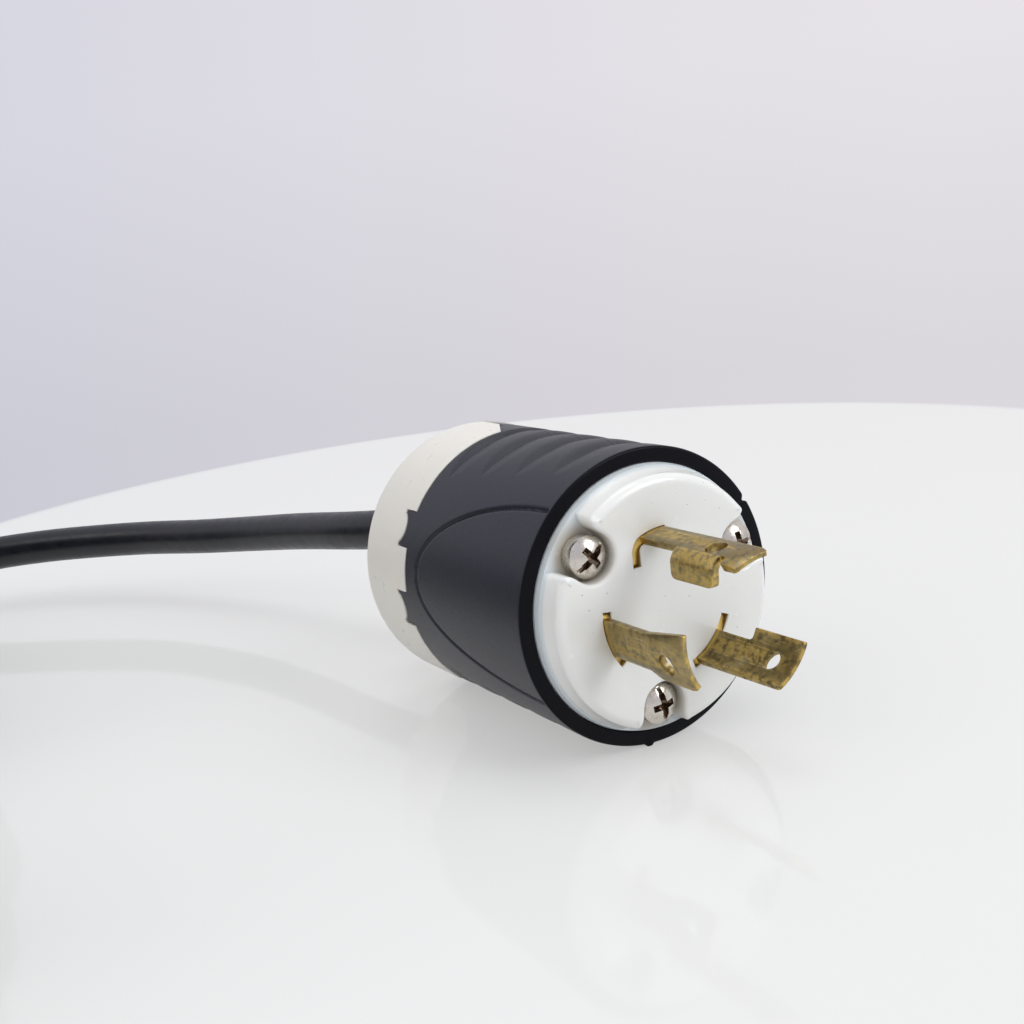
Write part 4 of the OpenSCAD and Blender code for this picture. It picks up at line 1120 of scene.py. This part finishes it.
class SHORE_OT_straps(bpy.types.Operator):
    """Make the two woven straps that hold the coil"""
    bl_idname = "shore.straps"
    bl_label = "Coil straps"

    def execute(self, context):
        for side, angle in (("near", 315), ("far", 135)):
            piece("strap_" + side, strap_mesh(angle), ROW, "strap", "coil_tie_" + side,
                  sharp=50)
        return {"FINISHED"}


class SHORE_OT_shells(bpy.types.Operator):
    """Make the two dark moulded shells with their grips, panels and seam lugs"""
    bl_idname = "shore.shells"
    bl_label = "Shells"

    def execute(self, context):
        for (end, _, long, place), look, node, row in zip(
                ENDS, ("plug_shell", "conn_shell"), ("body_shell", "conn_shell"), (0.37, 0.62)):
            piece(end + "_shell", shell_mesh(long, row), place, look, node, sharp=38)
        return {"FINISHED"}


class SHORE_OT_caps(bpy.types.Operator):
    """Make the ivory rear caps and the cord saddles on them"""
    bl_idname = "shore.caps"
    bl_label = "Rear caps"

    def execute(self, context):
        for end, pre, long, place in ENDS:
            node = pre + "rear_cap"
            piece(end + "_cap", cap_mesh(long), place, "cap", node, sharp=38)
            piece(end + "_saddle", clamp_mesh(long, False), place, "cap", node)
        return {"FINISHED"}


class SHORE_OT_jaws(bpy.types.Operator):
    """Make the upper halves of the cord clamps"""
    bl_idname = "shore.jaws"
    bl_label = "Clamp jaws"

    def execute(self, context):
        for end, pre, long, place in ENDS:
            node = pre + "clamp_jaw"
            piece(end + "_jaw", clamp_mesh(long, True), place, "cap", node, node)
        return {"FINISHED"}


class SHORE_OT_clamp_screws(bpy.types.Operator):
    """Make the screws that draw the clamp jaws down"""
    bl_idname = "shore.clamp_screws"
    bl_label = "Clamp screws"

    def execute(self, context):
        for end, pre, long, place in ENDS:
            for side, x, turn in (("left", -CLAMP_X, 24), ("right", CLAMP_X, 71)):
                node = pre + "clamp_screw_" + side
                mesh = screw_mesh(CLAMP_TOP + 8.5, turn)
                mesh.transform(Matrix.Translation(
                    (x, CLAMP_TOP - 0.7, -long - CAP_LEN - CLAMP_LEN / 2)) @ UPRIGHT)
                piece((pre or "plug_") + "clamp_bolt_" + side, mesh, place, "nickel", node,
                      node)
        return {"FINISHED"}


class SHORE_OT_face(bpy.types.Operator):
    """Make the plug's white face with its soft plateau, pockets and slots"""
    bl_idname = "shore.face"
    bl_label = "Plug face"

    def execute(self, context):
        piece("plug_face", face_mesh(), PLUG, "face", "face_carrier", sharp=45)
        return {"FINISHED"}


class SHORE_OT_face_screws(bpy.types.Operator):
    """Make the three assembly screws whose domed heads sit in the face's pockets"""
    bl_idname = "shore.face_screws"
    bl_label = "Face screws"

    def execute(self, context):
        turns = [turn - a for a, turn in zip(SCREW_A, (38, 5, 98))]
        piece("plug_face_screws", screw_ring(54, turns, 1.02, 1.6), PLUG, "nickel",
              "assembly_screws")
        return {"FINISHED"}


class SHORE_OT_blades(bpy.types.Operator):
    """Make the curved line and neutral blades"""
    bl_idname = "shore.blades"
    bl_label = "Line blades"

    def execute(self, context):
        tip, foot, neck, notch = 27.8, 4.8, 3.6, 15.5
        top = foot + 0.8
        line = [(6.6, SHOULDER), (6.6, foot), (neck, top), (neck, notch - 0.5), (neck + 0.3, notch),
                (6, notch), (6, tip), (-neck + 0.2, tip), (-neck, top), (-4.5, foot), (-4.5, SHOULDER)]
        neutral = [(5.9, SHOULDER), (5.9, foot), (neck, top), (neck, notch + 1.1),
                   (neck + 0.4, notch + 1.5), (4.7, notch + 2.4), (5.1, notch + 3), (5.1, tip),
                   (-5.2, tip), (-neck, notch + 1.8), (-neck, top), (-4.6, foot), (-4.6, SHOULDER)]
        for kind, look, a, points, radii in (
                ("line", "dull_brass", LINE_A, line, {6: 0.5, 7: 0.35, 8: 0.35, 9: 0.5, 10: 0.5}),
                ("neutral", "brass", NEUTRAL_A, neutral,
                 {6: 1.5, 7: 0.6, 8: 0.8, 9: 1.2, 10: 0.4, 11: 0.5, 12: 3.5})):
            root = [(-neck, BLADE_FOOT), (neck, BLADE_FOOT), (neck, SHOULDER)]
            outline = rounded_outline(root + points + [(-neck, SHOULDER)], radii)
            piece(kind + "_prong", line_mesh(a, outline, tip), PLUG, look, kind + "_blade",
                  sharp=40)
        return {"FINISHED"}


class SHORE_OT_ground(bpy.types.Operator):
    """Make the hooked ground blade"""
    bl_idname = "shore.ground"
    bl_label = "Ground blade"

    def execute(self, context):
        piece("ground_prong", ground_mesh(33.3), PLUG, "brass", "ground_blade", sharp=40)
        return {"FINISHED"}


class SHORE_OT_connector_face(bpy.types.Operator):
    """Make the connector's flat slotted face and its sunk screws"""
    bl_idname = "shore.connector_face"
    bl_label = "Connector face"

    def execute(self, context):
        low, top = -SEAT_DEPTH + 0.1, 1.2
        disc = revolve([(0.02, low), (DRUM_R, low), (DRUM_R, 0.0), (25.1, 0.1), (25.1, 0.7),
                        (24.95, 1.0), (24.6, top), (0.02, top)], 160)
        tools = []
        for a in SCREW_A:
            tools.append(rod(4.3, -2.4, 3, spin(a, SCREW_CIRCLE)))
            tools.append(rod(2.3, -8, 0, spin(a, SCREW_CIRCLE)))
        half = math.degrees(math.asin(6.5 / BLADE_R))
        for mid in (180 - LINE_A, 180 - NEUTRAL_A):
            tools.append(arc_slab(12.5, 15.1, mid - half, mid + half, -8, 3))
        hook = hook_slab(0.5, -8, 3)
        hook.transform(Matrix.Scale(-1, 4, (1, 0, 0)))
        tools.append(tidy(hook, 0.0002))
        piece("connector_front", bevelled(cut(disc, *tools), 0.3, 60, 3), CONN, "conn_face",
              "conn_face", sharp=40)
        piece("connector_front_screws", screw_ring(68.6, (12, 64, 131), -2.38), CONN,
              "nickel", "conn_assembly_screws")
        return {"FINISHED"}


class SHORE_OT_inner(bpy.types.Operator):
    """Give the inner solids their finishes"""
    bl_idname = "shore.inner"
    bl_label = "Inner parts"

    def execute(self, context):
        finishes = {
            "inner": "terminal_block conn_block",
            "green_screw": "ground_terminal_screw",
            "contact": "line_terminal_screw ground_clamp_plate line_clamp_plate neutral_clamp_plate "
                       "conn_clamp_plates conn_ground_contact conn_line_contact conn_neutral_contact",
            "nickel": "neutral_terminal_screw conn_terminal_screws",
            "green": "ground_wire", "black": "line_wire conn_wires", "white": "neutral_wire",
            "copper": "wire_strands conn_wire_strands", "rubber": "cord_seal conn_cord_seal",
            "cord": "cord_end conn_cord_end",
        }
        for name, nodes in finishes.items():
            for node in nodes.split():
                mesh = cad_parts[node].data
                mesh.materials.clear()
                mesh.materials.append(finish(name))
        return {"FINISHED"}


class SHORE_OT_cord(bpy.types.Operator):
    """Lay the cord from the plug round its coil to the connector"""
    bl_idname = "shore.cord"
    bl_label = "Cord"

    def execute(self, context):
        diameter = settings().cord_diameter
        path = through(cord_route(), 4)
        mesh = tube(path, mm(diameter) / 2, settings().cord_sides)
        cord = piece("cord", tidy(mesh, 0.0005), ROW, "cord", ("cord_run", "cord_coil", "cord_tail"),
                     sharp=50)
        return {"FINISHED"}


class SHORE_OT_stage(bpy.types.Operator):
    """Set the turntable, the floor beyond it, the backdrop and the lights"""
    bl_idname = "shore.stage"
    bl_label = "Stage"

    def execute(self, context):
        self.table(settings())
        self.world(context)
        self.lights(context)
        return {"FINISHED"}

    def seen(self, f):
        """1 for rays that should meet the backdrop as it looks: direct, mirrored and through glass."""
        ray = f.node("LightPath").outputs
        plain = f.math("MAXIMUM", ray["Is Camera Ray"], ray["Is Glossy Ray"])
        return f.math("MAXIMUM", plain, ray["Is Transmission Ray"])

    def wall(self, f, way):
        """The backdrop's colour by direction: it pales to the right and darkens a little low down."""
        tone = f.ramp(f.axis("X", way), (0.1, (0.665, 0.665, 0.745)), (0.75, (0.80, 0.775, 0.81)))
        rise = f.node("MapRange", f.axis("Z", way), From_Min=-0.12, From_Max=0.1, To_Min=0.89, To_Max=1.0)
        return f.vector("SCALE", tone, Scale=rise.outputs["Result"])

    def table(self, colours):
        """A glossy top with a round far edge; the floor beyond it looks like the backdrop."""
        top_r, edge = 0.2490, 0.005
        middle, ahead = Vector((0.073, 0.150, 0)), Vector((0.4972, 0.8676, 0))
        mesh = new_mesh([(x, y, 0) for x, y in oblong(3.0, 3.0)], [(0, 1, 2, 3)])
        f = Finish("glossy_table", colours.table_colour, 0.16, Specular_IOR_Level=0.5)
        away = f.vector("SUBTRACT", f.coord, middle)
        deep, wide = (f.vector("DOT_PRODUCT", away, way, out="Value")
                      for way in (ahead, Vector((ahead.y, -ahead.x, 0))))
        deep = f.math("MAXIMUM", deep, 0.0)
        far = f.math("SQRT", f.math("ADD", f.times(deep, deep), f.times(wide, wide)))
        beyond = f.between(far, top_r - edge, top_r + edge)
        top = f.mix(f.noise(60.0), scaled(colours.table_colour, 0.985), colours.table_colour)
        f.look(f.mix(beyond, top, colours.wall_colour),
               f.mix(beyond, f.clouds((12.0, 4.0), 0.04, 0.08), (0.9, 0.9, 0.9)))
        back = f.vector("SCALE", f.node("NewGeometry").outputs["Incoming"], Scale=-1.0)
        glow = f.node("Emission", f.mix(beyond, top, self.wall(f, back)))
        own = f.times(f.math("MAXIMUM", beyond, 0.5), self.seen(f))
        mix = f.node("MixShader", own, f.bsdf.outputs["BSDF"], glow.outputs["Emission"])
        f.put(f.nodes["Material Output"].inputs["Surface"], mix.outputs["Shader"])
        mesh.materials.append(f.mat)
        mesh.name = "table"
        holder(mesh)

    def world(self, context):
        """Soft light, stronger overhead, and the backdrop's own look."""
        world = bpy.data.worlds.new("backdrop")
        world.use_nodes = True
        context.scene.world = world
        f = Nodes(world.node_tree)
        f.nodes.clear()
        way = f.node("TexCoord").outputs["Generated"]
        rise = f.node("MapRange", f.axis("Z", way), To_Min=0.32, To_Max=1.04)
        light = f.node("Background", (0.94, 0.955, 1.0), rise.outputs["Result"])
        look = f.node("Background", self.wall(f, way))
        mix = f.node("MixShader", self.seen(f), *(x.outputs["Background"] for x in (light, look)))
        f.node("OutputWorld", mix.outputs["Shader"])

    def lights(self, context):
        aim = Vector((0, 0, 0.03))
        for name, place, size, power, tone in (
                ("window", (-2.5, 0.0, 1.8), 2.2, 15.0, (1.0, 0.985, 0.96)),
                ("fill", (1.5, -2.3, 1.8), 1.8, 38.0, (0.96, 0.98, 1.0)),
                ("top", (0.3, 0.5, 3.0), 1.5, 11.0, (1.0, 1.0, 1.0))):
            data = bpy.data.lights.new(name, "AREA")
            data.shape, data.size, data.energy, data.color = "DISK", size, power, tone
            lamp = bpy.data.objects.new(name, data)
            lamp.location = place
            lamp.rotation_euler = (aim - Vector(place)).to_track_quat("-Z", "Y").to_euler()
            context.scene.collection.objects.link(lamp)


class SHORE_PT_panel(bpy.types.Panel):
    """Sizes, colours and pieces of the shore power cord"""
    bl_idname = "SHORE_PT_panel"
    bl_label = "Shore Power Cord"
    bl_space_type = "VIEW_3D"
    bl_region_type = "UI"
    bl_category = "Shore Cord"

    def draw(self, context):
        for name in ShoreCordSettings.__annotations__:
            self.layout.prop(context.scene.shore_cord, name)
        for operator in OPERATORS:
            self.layout.operator(operator.bl_idname)


OPERATORS = (SHORE_OT_camera, SHORE_OT_straps, SHORE_OT_shells, SHORE_OT_caps, SHORE_OT_jaws,
             SHORE_OT_clamp_screws, SHORE_OT_face, SHORE_OT_face_screws, SHORE_OT_blades,
             SHORE_OT_ground, SHORE_OT_connector_face, SHORE_OT_inner, SHORE_OT_cord, SHORE_OT_stage)
CLASSES = (ShoreCordSettings,) + OPERATORS + (SHORE_PT_panel,)


def register():
    for cls in CLASSES:
        bpy.utils.register_class(cls)
    bpy.types.Scene.shore_cord = PointerProperty(type=ShoreCordSettings)


def unregister():
    del bpy.types.Scene.shore_cord
    for cls in reversed(CLASSES):
        bpy.utils.unregister_class(cls)


def plain(box):
    return [[float(x) for x in corner] for corner in box]


def main():
    register()
    bpy.context.scene.view_settings.view_transform = "Standard"
    bpy.ops.shore.camera()
    bpy.ops.shore.straps()
    bpy.ops.shore.connector_face()
    bpy.ops.shore.shells()
    bpy.ops.shore.caps()
    bpy.ops.shore.jaws()
    bpy.ops.shore.clamp_screws()
    bpy.ops.shore.inner()
    bpy.ops.shore.cord()
    bpy.ops.shore.face()
    bpy.ops.shore.face_screws()
    bpy.ops.shore.blades()
    bpy.ops.shore.ground()
    bpy.ops.shore.stage()


if __name__ == "__main__":
    main()
